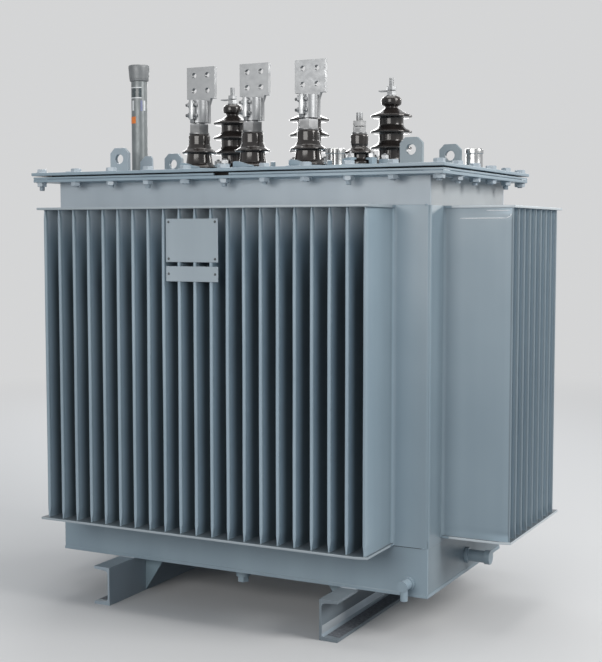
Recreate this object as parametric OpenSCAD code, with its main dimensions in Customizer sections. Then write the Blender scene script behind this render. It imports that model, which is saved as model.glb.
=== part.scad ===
// Oil-filled distribution transformer with corrugated fin walls, standing on two channel skids.
// Millimetres, +Z up. X runs along the long side, and the low-voltage side faces -Y.
// The origin is on the ground, under the middle of the tank.

/* [Tank] */
// Length of the tank along X, outside its band plates
tank_w = 1064; // [1000:2:1300]
// Depth of the tank along Y, outside its band plates
tank_d = 540; // [500:2:700]
// Thickness of the band plates
band_t = 6; // [4:1:12]
// Height of the lower band that shows below the fins
low_band_h = 112; // [90:1:180]
// Height of the upper band that shows above the fins
top_band_h = 70; // [40:1:120]
// How far the bands run on behind the fin panels
band_lap = 20; // [10:1:40]
// Thickness of the base plate
base_t = 8; // [5:1:16]
// How far the base plate stands out past the bands
base_lip = 1; // [1:1:12]

/* [Fins] */
// Number of fins on each long side
long_fins = 21; // [5:1:21]
// Number of fins on each end
end_fins = 9; // [3:1:9]
// Distance from one fin to the next
fin_pitch = 45; // [30:0.5:46]
// Thickness of a folded fin
fin_t = 10; // [7:0.5:16]
// Thickness of the folded sheet
sheet_t = 2; // [1:0.5:3]
// Depth of the fins on the long sides
long_fin_depth = 152; // [60:1:250]
// Depth of the fins on the right end
right_fin_depth = 170; // [60:1:250]
// Depth of the fins on the left end
left_fin_depth = 92; // [60:1:250]
// Height of a fin panel, over both edge plates
panel_h = 809; // [500:1:1200]
// Shift of the long sides' fins to the left of their wall's middle
long_fin_shift = 14; // [0:1:20]
// Height over which a fin is pressed flat at each end
pinch_h = 17; // [12:1:30]
// Height over which a fin swells from flat to its full thickness
swell_h = 20; // [10:1:60]
// Thickness of the edge plates across the fin ends
edge_t = 6; // [3:0.5:10]
// How far an edge plate stands out past the long sides' fins
long_lip = 10; // [2:1:16]
// How far an edge plate stands out past the ends' fins
end_lip = 3; // [2:1:16]
// How far an edge plate stands out beside the fin at its cut corner
side_lip = 5; // [2:1:10]
// How far a long side's edge plate stands out beside the fin at its square corner
long_far_lip = 12; // [4:1:20]
// How far an end's edge plate stands out beside the fin at its square corner
end_far_lip = 34; // [10:1:45]
// Long leg of the cut at an edge plate's corner
cut_long = 28; // [16:1:40]
// Short leg of the cut at an edge plate's corner
cut_short = 8; // [4:1:12]
// How far the ends' fins stop above the lower edge of their sheet
end_rise = 10; // [0:1:40]

/* [Cover] */
// Thickness of the tank flange
flange_t = 7; // [6:1:16]
// How far the flange stands out past the bands
flange_reach = 50; // [40:1:70]
// Thickness of the stop strip that limits how far the gasket is pressed
stop_t = 5; // [3:0.5:6]
// Width of the stop strip
stop_w = 7; // [4:1:10]
// Length of the gap in the stop strip's front run
stop_gap = 43; // [20:1:80]
// Height of the pressed gasket
gasket_h = 10; // [8:0.5:16]
// How far the gasket reaches out past the bands
gasket_reach = 16; // [8:1:20]
// Thickness of the cover plate
cover_t = 8; // [5:1:16]
// How far the cover stands out past the bands
cover_reach = 54; // [44:1:80]
// Height of the raised seats under the bushings
seat_h = 9; // [6:1:30]
// Width of a seat's rim outside the bushing's foot
seat_rim = 16; // [8:1:20]

/* [Skids] */
// Height of a skid channel
skid_h = 100; // [80:1:200]
// Width of a channel's flanges
skid_b = 48; // [40:1:75]
// Thickness of a channel's web
skid_web_t = 6; // [4:0.5:12]
// Thickness of a channel's flanges at the web
skid_root_t = 10; // [7:0.5:16]
// Thickness of a channel's flanges at the toe
skid_toe_t = 7; // [5:0.5:7]
// Length of a skid
skid_l = 770; // [720:2:900]
// Hole gauge across the skids, along X
gauge_x = 660; // [600:10:700]
// Hole gauge along the skids, along Y
gauge_y = 660; // [540:10:680]
// Diameter of the skid holes
skid_hole_d = 18; // [12:1:22]
// Distance of a skid's gussets from the middle of its length
gusset_y = 215; // [120:1:240]
// Width of a gusset at its top
gusset_w = 60; // [30:1:100]
// Thickness of a gusset
gusset_t = 8; // [5:1:12]

/* [Lifting lugs] */
// Width of a lug
lug_w = 59; // [50:1:100]
// Height of a lug above the cover
lug_h = 73; // [64:1:120]
// Thickness of a lug
lug_t = 12; // [8:1:20]
// Diameter of a lug's hole
lug_hole_d = 26; // [16:1:32]
// Height of a lug's hole above the cover
lug_hole_z = 43; // [30:1:45]
// Chamfer of a lug's top corners
lug_chamfer = 14; // [6:1:16]
// Distance of the lugs' middles from the tank's ends
lug_end = 102; // [60:1:140]
// Distance of the lugs from the tank's middle line
lug_y = 135; // [110:1:180]

/* [Low-voltage bushings] */
// Distance along X from the neutral bushing to the right lugs' middles
neutral_lug_gap = 133; // [100:1:180]
// Distance of the low-voltage row in front of the middle line
lv_row = 150; // [130:1:170]
// Height of the porcelain above its seat
lv_h = 90; // [70:1:140]
// Diameter of the porcelain's body
lv_body_d = 58; // [50:1:64]
// Diameter of the porcelain's shed
lv_shed_d = 92; // [80:1:110]
// Diameter of the porcelain's foot
lv_foot_d = 88; // [76:1:100]
// Diameter of the stud
lv_stud_d = 28; // [16:1:32]
// Height of the clamp on the stud
clamp_h = 58; // [40:1:80]
// Diameter of the clamp's barrel
clamp_d = 48; // [40:1:60]
// Width of the palm
palm_w = 85; // [72:1:120]
// Height of the palm
palm_h = 83; // [72:1:120]
// Thickness of the palm
palm_t = 12; // [8:1:14]
// Spacing of the palm's holes, both ways
palm_gauge = 40; // [30:1:48]
// Diameter of the palm's holes
palm_hole_d = 14; // [9:1:18]

/* [Neutral bushing] */
// Height of the neutral's porcelain above its seat
neutral_h = 75; // [60:1:110]
// Diameter of the neutral's porcelain
neutral_body_d = 44; // [38:1:50]
// Diameter of the neutral's shed
neutral_shed_d = 74; // [60:1:90]
// Diameter of the neutral's foot
neutral_foot_d = 62; // [56:1:76]
// Diameter of the neutral stud
neutral_stud_d = 16; // [10:1:20]
// Height of the neutral stud above the porcelain
neutral_stud_h = 52; // [46:1:90]

/* [High-voltage bushings] */
// Distance along X from the outer high-voltage bushings to the lugs' middles
hv_lug_gap = 182; // [140:1:220]
// Distance of the high-voltage row behind the middle line
hv_row = 165; // [150:1:175]
// Height of the porcelain above its seat
hv_h = 200; // [160:1:280]
// Diameter of the porcelain's body
hv_body_d = 66; // [56:1:70]
// Diameter of the sheds
hv_shed_d = 113; // [96:1:130]
// Number of sheds
hv_sheds = 3; // [2:1:4]
// Diameter of the porcelain's foot
hv_foot_d = 88; // [80:1:96]
// Diameter of the stud
hv_stud_d = 12; // [8:1:16]
// Height of the stud above the porcelain
hv_stud_h = 49; // [44:1:80]

/* [Oil gauge] */
// Distance of the gauge from the tank's left end
oil_gauge_end = 74; // [50:1:110]
// Height of the whole gauge above the cover
oil_gauge_h = 314; // [200:1:400]
// Diameter of the gauge's tube
tube_d = 45; // [34:1:50]
// Thickness of the tube's wall
tube_wall = 3; // [2:0.5:6]
// Diameter of the gauge's cap at its top
gauge_cap_d = 60; // [56:1:70]
// Diameter of the gauge's cap at its foot
gauge_cap_foot_d = 52; // [51:1:55]
// Height of the gauge's cap
gauge_cap_h = 45; // [30:1:60]
// Diameter of the gauge's base
gauge_base_d = 60; // [54:1:80]
// Height of the gauge's base
gauge_base_h = 14; // [8:1:24]
// Height of the bracket plate beside the tube
bracket_h = 56; // [40:1:90]
// Width of the bracket plate at its foot
bracket_w = 47; // [30:1:60]
// Distance of the bracket plate to the right of the tube's middle
bracket_x = 25; // [10:1:40]
// Thickness of the bracket plate
bracket_t = 6; // [4:1:10]

/* [Valves and caps] */
// Distance of the tap changer's cap to the right of the middle
tap_x = 160; // [120:1:200]
// Diameter of the tap changer's cap
tap_d = 50; // [36:1:60]
// Height of the tap changer's cap
tap_h = 62; // [45:1:90]
// Distance of the relief valve from the tank's right end
relief_end = 47; // [40:1:60]
// Diameter of the relief valve
relief_d = 44; // [30:1:50]
// Height of the relief valve
relief_h = 62; // [45:1:90]
// Diameter of the drain valve's body
drain_d = 30; // [24:1:44]
// Length of the drain valve
drain_l = 66; // [50:1:110]
// Height of the drain valve above the base plate's top
drain_z = 37; // [32:1:60]
// Distance of the sampling valve from the tank's right end
sample_end = 49; // [30:1:90]
// Height of the sampling valve above the base plate's top
sample_z = 24; // [20:1:60]
// Distance of the base drain plug behind the tank's front
plug_inset = 54; // [40:1:120]
// How far the drain plug hangs below the base plate
plug_h = 37; // [24:1:60]

/* [Plates] */
// Width of the rating plate
rating_w = 147; // [100:1:200]
// Height of the rating plate
rating_h = 105; // [60:1:140]
// Distance of the rating plate's top below the top of the fin panel
rating_drop = 30; // [20:1:90]
// Distance of the plates' middle to the left of the middle
rating_shift = 20; // [0:1:80]
// Height of the lower plate
lower_plate_h = 37; // [20:1:60]
// Space between the two plates
plate_space = 10; // [4:1:40]
// Thickness of the plates
plate_t = 2; // [1:0.5:4]

/* [Hidden] */
$fn = 64;

// Colours of the paint and the bare pieces
paint = [0.55, 0.61, 0.64];
skid_paint = [0.47, 0.53, 0.56];
porcelain = [0.13, 0.08, 0.06];
tin = [0.72, 0.73, 0.74];
rubber = [0.10, 0.10, 0.11];
bright = [0.80, 0.81, 0.82];
clear_tube = [0.78, 0.80, 0.80];

// One overrun serves all cuts
overrun = 1;
// Clearance between a stud and the bore it passes through
stud_clear = 0.3;

// Heights of the tank's levels above the ground
base_z = skid_h;
tank_z = base_z + base_t;
panel_z = tank_z + low_band_h;
panel_top_z = panel_z + panel_h;
flange_z = panel_top_z + top_band_h;
gasket_z = flange_z + flange_t;
cover_z = gasket_z + gasket_h;
cover_top_z = cover_z + cover_t;
seat_z = cover_top_z + seat_h;

// Half widths of a fin: pressed flat, and in full
pinch_half = sheet_t;
fin_half = fin_t / 2;

// Places across the skids: the web's inner face lies so that the holes are on the middle of the flanges
skid_x = gauge_x / 2 - (skid_b + skid_web_t) / 2;

// Places along the bushing rows: the low-voltage phases stand in even steps, to the left of the neutral
lug_x = tank_w / 2 - lug_end;
neutral_x = lug_x - neutral_lug_gap;
lv_pitch_share = 0.542;
lv_shift_share = 0.0185;
hv_pitch = lug_x - hv_lug_gap;

// Spigots of the bushings, which pass through the cover, and their clearance there
spigot_depth = 45;
spigot_clear = 1;
spigot_share = 0.64;
lv_spigot_d = lv_foot_d * spigot_share;
neutral_spigot_d = neutral_foot_d * spigot_share;
hv_spigot_d = hv_foot_d * spigot_share;
// Length of stud that shows below a spigot
stud_tail = 20;

// Heights up the low porcelains as shares of their own height:
// foot, shed underside, rim foot, rim top and shed top
lv_shed_shares = [0.06, 0.50, 0.52, 0.55, 0.74];
neutral_shed_shares = [0.14, 0.36, 0.38, 0.44, 0.58];
// Radii of a low porcelain's root, and of its top edge's rounding, as shares of its body radius
low_root_share = 1.07;
low_round_share = 0.18;
// Width of a low porcelain's shed tip as a share of its shed's reach
low_tip_share = 0.14;
// Heights up the high-voltage porcelain as shares of its own height
hv_foot_share = 0.11;
hv_first_shed_share = 0.26;
hv_last_shed_share = 0.675;
hv_tip_share = 0.015;
hv_rim_share = 0.035;
hv_slope_share = 0.105;
hv_shoulder_share = 0.085;
hv_neck_foot_share = 0.145;
hv_dome_share = 0.85;
// Radii of its neck and head as shares of the body radius
hv_neck_share = 0.62;
hv_head_share = 0.86;

// Washer and nut under the low-voltage clamp, and the length of stud that shows above them
collar_d = 52;
collar_h = 4;
lv_nut_af = 47;
lv_nut_h = 22;
stud_show = 4;
// Ears and slit of the clamp, towards the front
ear_w = 13;
ear_h = 48;
ear_foot = 8;
ear_reach = 39;
ear_round = 9;
slit_w = 3;
// The palm stands behind the stud, above the clamp, on a neck that widens towards it
palm_back = 8;
palm_rise = 6;
neck_w = 60;
neck_drop = 12;

// Foot of the stop strip, set back from the flange's edge
stop_foot_h = 1.5;
stop_foot_inset = 3;

// Washer and nuts of the neutral stud
neutral_washer_d = 36;
neutral_washer_h = 4;
neutral_nut_af = 30;
neutral_nut_h = 13;
neutral_nut_gap = 2;

// Washer, nuts and tab of the high-voltage studs
hv_washer_d = 30;
hv_washer_h = 3;
hv_nut_af = 24;
hv_nut_h = 10;
tab_l = 34;
tab_w = 20;
tab_t = 3;

// Feet, heads and chamfers of the round caps
cap_foot_h = 8;
cap_foot_rim = 5;
cap_head_h = 14;
cap_head_rim = 2;
cap_chamfer = 4;

// Drain valve: flange, neck and screw cap
drain_flange_share = 1.35;
drain_flange_d = drain_d * drain_flange_share;
drain_flange_h = 9;
drain_cap_share = 1.2;
drain_cap_d = drain_d * drain_cap_share;
drain_cap_h = 15;

// Sampling valve: boss, body and hanging outlet
sample_boss_d = 34;
sample_boss_h = 8;
sample_body_d = 26;
sample_body_l = 38;
sample_outlet_d = 18;
sample_outlet_l = 36;
sample_reach = 26;

// Drain plug under the base: boss and hex plug
plug_boss_d = 38;
plug_boss_share = 0.6;
plug_af = 27;

// Corners of the bracket plate as shares of its width and height
bracket_shares = [[0, 0], [1, 0], [0.9, 0.22], [0.86, 0.88], [0.76, 1], [0.36, 1], [0, 0.72]];

// A ring of plate lying on the level z, between two rectangles around the tank
module tank_ring(outer, inner, h) {
    difference() {
        centred_box(tank_w + 2 * outer, tank_d + 2 * outer, h);
        translate([0, 0, -overrun])
            centred_box(tank_w + 2 * inner, tank_d + 2 * inner, h + 2 * overrun);
    }
}

// A box with its foot on z = 0 and its middle on the Z axis
module centred_box(w, d, h) {
    translate([-w / 2, -d / 2, 0]) cube([w, d, h]);
}

// A hexagonal prism across flats
module hex(af, h) {
    cylinder(d = af / cos(30), h = h, $fn = 6);
}

// Two band plates across the long sides, from the level z up
module long_bands(z, h) {
    for (side = [-1, 1])
        translate([0, side * (tank_d - band_t) / 2, z]) centred_box(tank_w, band_t, h);
}

// Two band plates across the ends, between the long ones
module end_bands(z, h) {
    for (side = [-1, 1])
        translate([side * (tank_w - band_t) / 2, 0, z]) centred_box(band_t, tank_d - 2 * band_t, h);
}

// Outline of a fin of the height h seen from the front: pressed flat at both ends
function fin_outline(flat, full, h) = [
    [-flat, 0], [flat, 0], [flat, pinch_h], [full, pinch_h + swell_h],
    [full, h - pinch_h - swell_h], [flat, h - pinch_h], [flat, h],
    [-flat, h], [-flat, h - pinch_h], [-full, h - pinch_h - swell_h],
    [-full, pinch_h + swell_h], [-flat, pinch_h]
];

// Outline of the oil space inside a fin, which ends where the two sheets meet
function fold_outline(full, h) = [
    [0, pinch_h], [full, pinch_h + swell_h], [full, h - pinch_h - swell_h],
    [0, h - pinch_h], [-full, h - pinch_h - swell_h], [-full, pinch_h + swell_h]
];

// One folded fin, with a round outer edge, reaching from the wall's plane towards -Y
module fin(reach, h) {
    intersection() {
        rotate([90, 0, 0]) linear_extrude(reach) polygon(fin_outline(pinch_half, fin_half, h));
        union() {
            translate([-fin_half, fin_half - reach, 0]) cube([fin_t, reach - fin_half, h]);
            translate([0, fin_half - reach, 0]) cylinder(r = fin_half, h = h);
        }
    }
}

// The oil space inside one fin, open towards the tank
module fin_fold(reach, h) {
    translate([0, overrun, 0])
        rotate([90, 0, 0])
            linear_extrude(reach - sheet_t + overrun) polygon(fold_outline(fin_half - sheet_t, h));
}

// Plate across the ends of a row of fins: its corner on the given side is cut by two legs, the other square
module edge_plate(span, outer, far_lip, cut, side) {
    near = span / 2 + fin_half + side_lip;
    far = span / 2 + fin_half + far_lip;
    linear_extrude(edge_t)
        polygon([
            [-side * far, 0], [-side * far, -outer], [side * (near - cut[0]), -outer],
            [side * near, cut[1] - outer], [side * near, 0]
        ]);
}

// A corrugated wall panel: folded sheet, fins and edge plates, facing -Y
module fin_panel(wall_l, fins, depth, shift, rise, lip, far_lip, cut, side) {
    reach = sheet_t + depth;
    span = (fins - 1) * fin_pitch;
    fin_h = panel_h - rise;
    color(paint)
        difference() {
            union() {
                translate([-wall_l / 2, -sheet_t, 0]) cube([wall_l, sheet_t, panel_h]);
                translate([-shift, 0, rise]) {
                    for (i = [0 : fins - 1])
                        translate([i * fin_pitch - span / 2, 0, 0]) fin(reach, fin_h);
                    edge_plate(span, reach + lip, far_lip, cut, side);
                    translate([0, 0, fin_h - edge_t])
                        edge_plate(span, reach + lip, far_lip, cut, side);
                }
            }
            for (i = [0 : fins - 1])
                translate([i * fin_pitch - span / 2 - shift, 0, rise]) fin_fold(reach, fin_h);
        }
}

module long_panel() {
    translate([0, -tank_d / 2, panel_z])
        fin_panel(tank_w + 2 * sheet_t, long_fins, long_fin_depth, long_fin_shift, 0, long_lip,
            long_far_lip, [cut_long, cut_short], 1);
}

module end_panel(depth, side) {
    translate([0, -tank_w / 2, panel_z])
        fin_panel(tank_d, end_fins, depth, 0, end_rise, end_lip, end_far_lip,
            [cut_short, cut_long], side);
}

module base_plate() {
    color(paint)
        translate([0, 0, base_z]) centred_box(tank_w + 2 * base_lip, tank_d + 2 * base_lip, base_t);
}

module lower_long_bands() color(paint) long_bands(tank_z, low_band_h + band_lap);

module lower_end_bands() color(paint) end_bands(tank_z, low_band_h + band_lap);

module upper_long_bands() color(paint) long_bands(panel_top_z - band_lap, top_band_h + band_lap);

module upper_end_bands() color(paint) end_bands(panel_top_z - band_lap, top_band_h + band_lap);

module front_fin_panel() long_panel();

module back_fin_panel() rotate([0, 0, 180]) long_panel();

module right_fin_panel() rotate([0, 0, 90]) end_panel(right_fin_depth, -1);

module left_fin_panel() rotate([0, 0, -90]) end_panel(left_fin_depth, 1);

// Flange ring around the tank's mouth, with the stop strip on its foot along the outer edge
module tank_flange() {
    color(paint)
        translate([0, 0, flange_z]) {
            tank_ring(flange_reach, -band_t, flange_t);
            translate([0, 0, flange_t])
                difference() {
                    union() {
                        tank_ring(flange_reach - stop_foot_inset, flange_reach - stop_w, stop_foot_h);
                        translate([0, 0, stop_foot_h])
                            tank_ring(flange_reach, flange_reach - stop_w, stop_t);
                    }
                    translate([0, -tank_d / 2 - flange_reach, 0])
                        centred_box(stop_gap, 2 * (stop_w + overrun), stop_foot_h + stop_t + overrun);
                }
        }
}

module cover_gasket() {
    color(rubber) translate([0, 0, gasket_z]) tank_ring(gasket_reach, -band_t, gasket_h);
}

// Places of the bushings on the cover
module at_lv(i) {
    translate([neutral_x * ((i - 1) * lv_pitch_share - lv_shift_share), -lv_row, 0]) children();
}

module at_neutral() translate([neutral_x, -lv_row, 0]) children();

module at_hv(i) translate([(i - 1) * hv_pitch, hv_row, 0]) children();

// A raised seat on the cover, and the hole through it
module seat(foot_d) {
    translate([0, 0, cover_top_z]) cylinder(d = foot_d + 2 * seat_rim, h = seat_h);
}

module seat_hole(spigot_d) {
    translate([0, 0, cover_z - overrun])
        cylinder(d = spigot_d + 2 * spigot_clear, h = cover_t + seat_h + 2 * overrun);
}

module cover_plate() {
    color(paint)
        difference() {
            union() {
                translate([0, 0, cover_z])
                    centred_box(tank_w + 2 * cover_reach, tank_d + 2 * cover_reach, cover_t);
                for (i = [0 : 2]) {
                    at_lv(i) seat(lv_foot_d);
                    at_hv(i) seat(hv_foot_d);
                }
                at_neutral() seat(neutral_foot_d);
            }
            for (i = [0 : 2]) {
                at_lv(i) seat_hole(lv_spigot_d);
                at_hv(i) seat_hole(hv_spigot_d);
            }
            at_neutral() seat_hole(neutral_spigot_d);
        }
}

// A channel skid on the right, its web towards the middle and its flanges open outwards
module skid() {
    color(skid_paint)
        difference() {
            translate([skid_x, skid_l / 2, 0])
                rotate([90, 0, 0])
                    linear_extrude(skid_l)
                        polygon([
                            [0, 0], [skid_b, 0], [skid_b, skid_toe_t], [skid_web_t, skid_root_t],
                            [skid_web_t, skid_h - skid_root_t], [skid_b, skid_h - skid_toe_t],
                            [skid_b, skid_h], [0, skid_h]
                        ]);
            for (end = [-1, 1])
                translate([gauge_x / 2, end * gauge_y / 2, -overrun])
                    cylinder(d = skid_hole_d, h = skid_root_t + 2 * overrun);
        }
}

module right_skid() skid();

module left_skid() mirror([1, 0, 0]) skid();

// Two triangular gussets between a skid's web and the base plate
module gussets() {
    color(skid_paint)
        for (end = [-1, 1])
            translate([skid_x, end * gusset_y + gusset_t / 2, 0])
                rotate([90, 0, 0])
                    linear_extrude(gusset_t)
                        polygon([[0, 0], [0, skid_h], [-gusset_w, skid_h], [-gusset_w, skid_h - gusset_t]]);
}

module right_skid_gussets() gussets();

module left_skid_gussets() mirror([1, 0, 0]) gussets();

// A lifting lug across the cover, with chamfered shoulders and a hole
module lug(side, row) {
    half = lug_w / 2;
    color(paint)
        translate([side * lug_x, row * lug_y + lug_t / 2, cover_top_z])
            rotate([90, 0, 0])
                difference() {
                    linear_extrude(lug_t)
                        polygon([
                            [-half, 0], [half, 0], [half, lug_h - lug_chamfer], [half - lug_chamfer, lug_h],
                            [lug_chamfer - half, lug_h], [-half, lug_h - lug_chamfer]
                        ]);
                    translate([0, lug_hole_z, -overrun])
                        cylinder(d = lug_hole_d, h = lug_t + 2 * overrun);
                }
}

module front_left_lug() lug(-1, -1);

module front_right_lug() lug(1, -1);

module back_left_lug() lug(-1, 1);

module back_right_lug() lug(1, 1);

// A low bell-shaped porcelain with one shed, standing on z = 0, with its spigot below
module low_porcelain(h, shares, body_d, shed_d, foot_d, spigot_d, stud_d) {
    bore = stud_d / 2 + stud_clear;
    body = body_d / 2;
    shed = shed_d / 2;
    root = body * low_root_share;
    round_r = body * low_round_share;
    color(porcelain)
        rotate_extrude()
            polygon(concat(
                [
                    [bore, -spigot_depth], [spigot_d / 2, -spigot_depth], [spigot_d / 2, 0], [foot_d / 2, 0],
                    [foot_d / 2, h * shares[0]], [root, h * shares[1]],
                    [shed - (shed - body) * low_tip_share, h * shares[1]], [shed, h * shares[2]],
                    [shed, h * shares[3]], [body, h * shares[4]]
                ],
                [for (a = [0 : 30 : 90]) [body - round_r * (1 - cos(a)), h - round_r * (1 - sin(a))]],
                [[bore, h]]
            ));
}

module lv_bushing(i) {
    at_lv(i)
        translate([0, 0, seat_z])
            low_porcelain(lv_h, lv_shed_shares, lv_body_d, lv_shed_d, lv_foot_d, lv_spigot_d, lv_stud_d);
}

module lv_bushing_a() lv_bushing(0);

module lv_bushing_b() lv_bushing(1);

module lv_bushing_c() lv_bushing(2);

module neutral_bushing() {
    at_neutral()
        translate([0, 0, seat_z])
            low_porcelain(neutral_h, neutral_shed_shares, neutral_body_d, neutral_shed_d,
                neutral_foot_d, neutral_spigot_d, neutral_stud_d);
}

// Palm plate that faces the front, with its four holes, standing on z = 0
module palm() {
    difference() {
        translate([-palm_w / 2, 0, 0]) cube([palm_w, palm_t, palm_h]);
        for (x = [-1, 1], z = [-1, 1])
            translate([x * palm_gauge / 2, palm_t + overrun, palm_h / 2 + z * palm_gauge / 2])
                rotate([90, 0, 0]) cylinder(d = palm_hole_d, h = palm_t + 2 * overrun);
    }
}

// Plate behind the clamp that widens towards the palm, standing on z = 0
module palm_neck() {
    half = clamp_d / 2;
    shoulder = clamp_h - neck_drop;
    translate([0, palm_t, 0])
        rotate([90, 0, 0])
            linear_extrude(palm_t)
                polygon([
                    [-half, 0], [half, 0], [half, shoulder], [neck_w / 2, clamp_h + palm_rise],
                    [-neck_w / 2, clamp_h + palm_rise], [-half, shoulder]
                ]);
}

// Split barrel around the stud, with two ears in front whose outer corners are round
module clamp() {
    front = ear_reach - ear_round;
    difference() {
        union() {
            cylinder(d = clamp_d, h = clamp_h);
            translate([ear_w / 2, 0, ear_foot])
                rotate([90, 0, -90])
                    linear_extrude(ear_w)
                        polygon(concat(
                            [[0, 0]],
                            [for (a = [-90 : 30 : 0]) [
                                front + ear_round * cos(a), ear_round * (1 + sin(a))
                            ]],
                            [for (a = [0 : 30 : 90]) [
                                front + ear_round * cos(a), ear_h - ear_round * (1 - sin(a))
                            ]],
                            [[0, ear_h]]
                        ));
        }
        translate([-slit_w / 2, -ear_reach - overrun, -overrun])
            cube([slit_w, ear_reach + overrun, clamp_h + 2 * overrun]);
    }
}

// Stud, washer, nut, split clamp and palm of a low-voltage bushing
module lv_terminal(i) {
    tail = lv_h + spigot_depth + stud_tail;
    clamp_z = collar_h + lv_nut_h + stud_show;
    color(tin)
        at_lv(i)
            translate([0, 0, seat_z + lv_h]) {
                translate([0, 0, -tail]) cylinder(d = lv_stud_d, h = tail + clamp_z + clamp_h);
                cylinder(d = collar_d, h = collar_h);
                translate([0, 0, collar_h]) hex(lv_nut_af, lv_nut_h);
                translate([0, 0, clamp_z]) clamp();
                translate([0, palm_back, clamp_z]) palm_neck();
                translate([0, palm_back, clamp_z + clamp_h + palm_rise]) palm();
            }
}

module lv_terminal_a() lv_terminal(0);

module lv_terminal_b() lv_terminal(1);

module lv_terminal_c() lv_terminal(2);

module neutral_stud() {
    tail = neutral_h + spigot_depth + stud_tail;
    lower_nut_z = neutral_washer_h;
    upper_nut_z = lower_nut_z + neutral_nut_h + neutral_nut_gap;
    color(tin)
        at_neutral()
            translate([0, 0, seat_z + neutral_h]) {
                translate([0, 0, -tail]) cylinder(d = neutral_stud_d, h = tail + neutral_stud_h);
                cylinder(d = neutral_washer_d, h = neutral_washer_h);
                translate([0, 0, lower_nut_z]) hex(neutral_nut_af, neutral_nut_h);
                translate([0, 0, upper_nut_z]) hex(neutral_nut_af, neutral_nut_h);
            }
}

// Corners of one thin high-voltage shed whose underside is at the height z
function shed_points(z, body, shed) = [
    [body, z], [shed - hv_h * hv_tip_share, z], [shed, z + hv_h * hv_tip_share],
    [body, z + hv_h * hv_slope_share]
];

// Corners of the top shed, with a thick round rim and a shoulder that runs into the neck
function top_shed_points(z, body, shed, neck) = let (r = hv_h * hv_rim_share) concat(
    [[body, z]],
    [for (a = [-90 : 30 : 60]) [shed - r + r * cos(a), z + r + r * sin(a)]],
    [[body, z + hv_h * hv_shoulder_share], [neck, z + hv_h * hv_neck_foot_share]]
);

// A tall porcelain with a stack of sheds, a neck and a round head, standing on its seat
module hv_bushing(i) {
    bore = hv_stud_d / 2 + stud_clear;
    body = hv_body_d / 2;
    foot = hv_foot_d / 2;
    shed = hv_shed_d / 2;
    neck = body * hv_neck_share;
    head = body * hv_head_share;
    first = hv_h * hv_first_shed_share;
    step = hv_h * (hv_last_shed_share - hv_first_shed_share) / (hv_sheds - 1);
    dome_z = hv_h * hv_dome_share;
    dome_r = hv_h - dome_z;
    color(porcelain)
        at_hv(i)
            translate([0, 0, seat_z])
                rotate_extrude()
                    polygon(concat(
                        [
                            [bore, -spigot_depth], [hv_spigot_d / 2, -spigot_depth], [hv_spigot_d / 2, 0],
                            [foot, 0], [foot, hv_h * hv_foot_share],
                            [body, hv_h * hv_foot_share + foot - body]
                        ],
                        [for (k = [0 : hv_sheds - 2]) each shed_points(first + k * step, body, shed)],
                        top_shed_points(hv_h * hv_last_shed_share, body, shed, neck),
                        [[neck, dome_z]],
                        [for (a = [0 : 15 : 75]) [
                            head - (head - neck) * (1 - cos(a)),
                            dome_z + (head - neck) + (dome_r - (head - neck)) * sin(a)
                        ]],
                        [[neck, hv_h], [bore, hv_h]]
                    ));
}

module hv_bushing_a() hv_bushing(0);

module hv_bushing_b() hv_bushing(1);

module hv_bushing_c() hv_bushing(2);

// Stud of a high-voltage bushing, with a washer, a connection tab and two nuts
module hv_stud(i) {
    tail = hv_h + spigot_depth + stud_tail;
    lower_nut_z = hv_washer_h;
    tab_z = lower_nut_z + hv_nut_h;
    color(tin)
        at_hv(i)
            translate([0, 0, seat_z + hv_h]) {
                translate([0, 0, -tail]) cylinder(d = hv_stud_d, h = tail + hv_stud_h);
                cylinder(d = hv_washer_d, h = hv_washer_h);
                translate([0, 0, lower_nut_z]) hex(hv_nut_af, hv_nut_h);
                translate([-tab_l, -tab_w / 2, tab_z]) cube([tab_l, tab_w, tab_t]);
                translate([0, 0, tab_z + tab_t]) hex(hv_nut_af, hv_nut_h);
            }
}

module hv_stud_a() hv_stud(0);

module hv_stud_b() hv_stud(1);

module hv_stud_c() hv_stud(2);

module at_oil_gauge() translate([oil_gauge_end - tank_w / 2, 0, cover_top_z]) children();

module gauge_base() {
    color(bright) at_oil_gauge() cylinder(d = gauge_base_d, h = gauge_base_h);
}

module gauge_tube() {
    color(clear_tube)
        at_oil_gauge()
            translate([0, 0, gauge_base_h])
                rotate_extrude()
                    translate([tube_d / 2 - tube_wall, 0])
                        square([tube_wall, oil_gauge_h - gauge_base_h - gauge_cap_h]);
}

// Cap on top of the tube, which widens upwards to a chamfered rim
module gauge_cap() {
    r = gauge_cap_d / 2;
    color(bright)
        at_oil_gauge()
            translate([0, 0, oil_gauge_h - gauge_cap_h])
                rotate_extrude()
                    polygon([
                        [0, 0], [gauge_cap_foot_d / 2, 0], [r, gauge_cap_h - cap_chamfer],
                        [r - cap_chamfer, gauge_cap_h], [0, gauge_cap_h]
                    ]);
}

// Plate that stands on the cover, in front of the gauge and to the right of its middle
module gauge_bracket() {
    color(paint)
        at_oil_gauge()
            translate([bracket_x, -gauge_base_d / 2, 0])
                rotate([90, 0, 0])
                    linear_extrude(bracket_t)
                        polygon([for (p = bracket_shares) [bracket_w * p[0], bracket_h * p[1]]]);
}

// A round cap on the cover: foot, body and a wider head with a chamfered rim
module round_cap(d, h) {
    r = d / 2;
    foot = r + cap_foot_rim;
    head = r + cap_head_rim;
    color(bright)
        translate([0, 0, cover_top_z])
            rotate_extrude()
                polygon([
                    [0, 0], [foot, 0], [foot, cap_foot_h], [r, cap_foot_h], [r, h - cap_head_h],
                    [head, h - cap_head_h], [head, h - cap_chamfer], [head - cap_chamfer, h], [0, h]
                ]);
}

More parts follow.
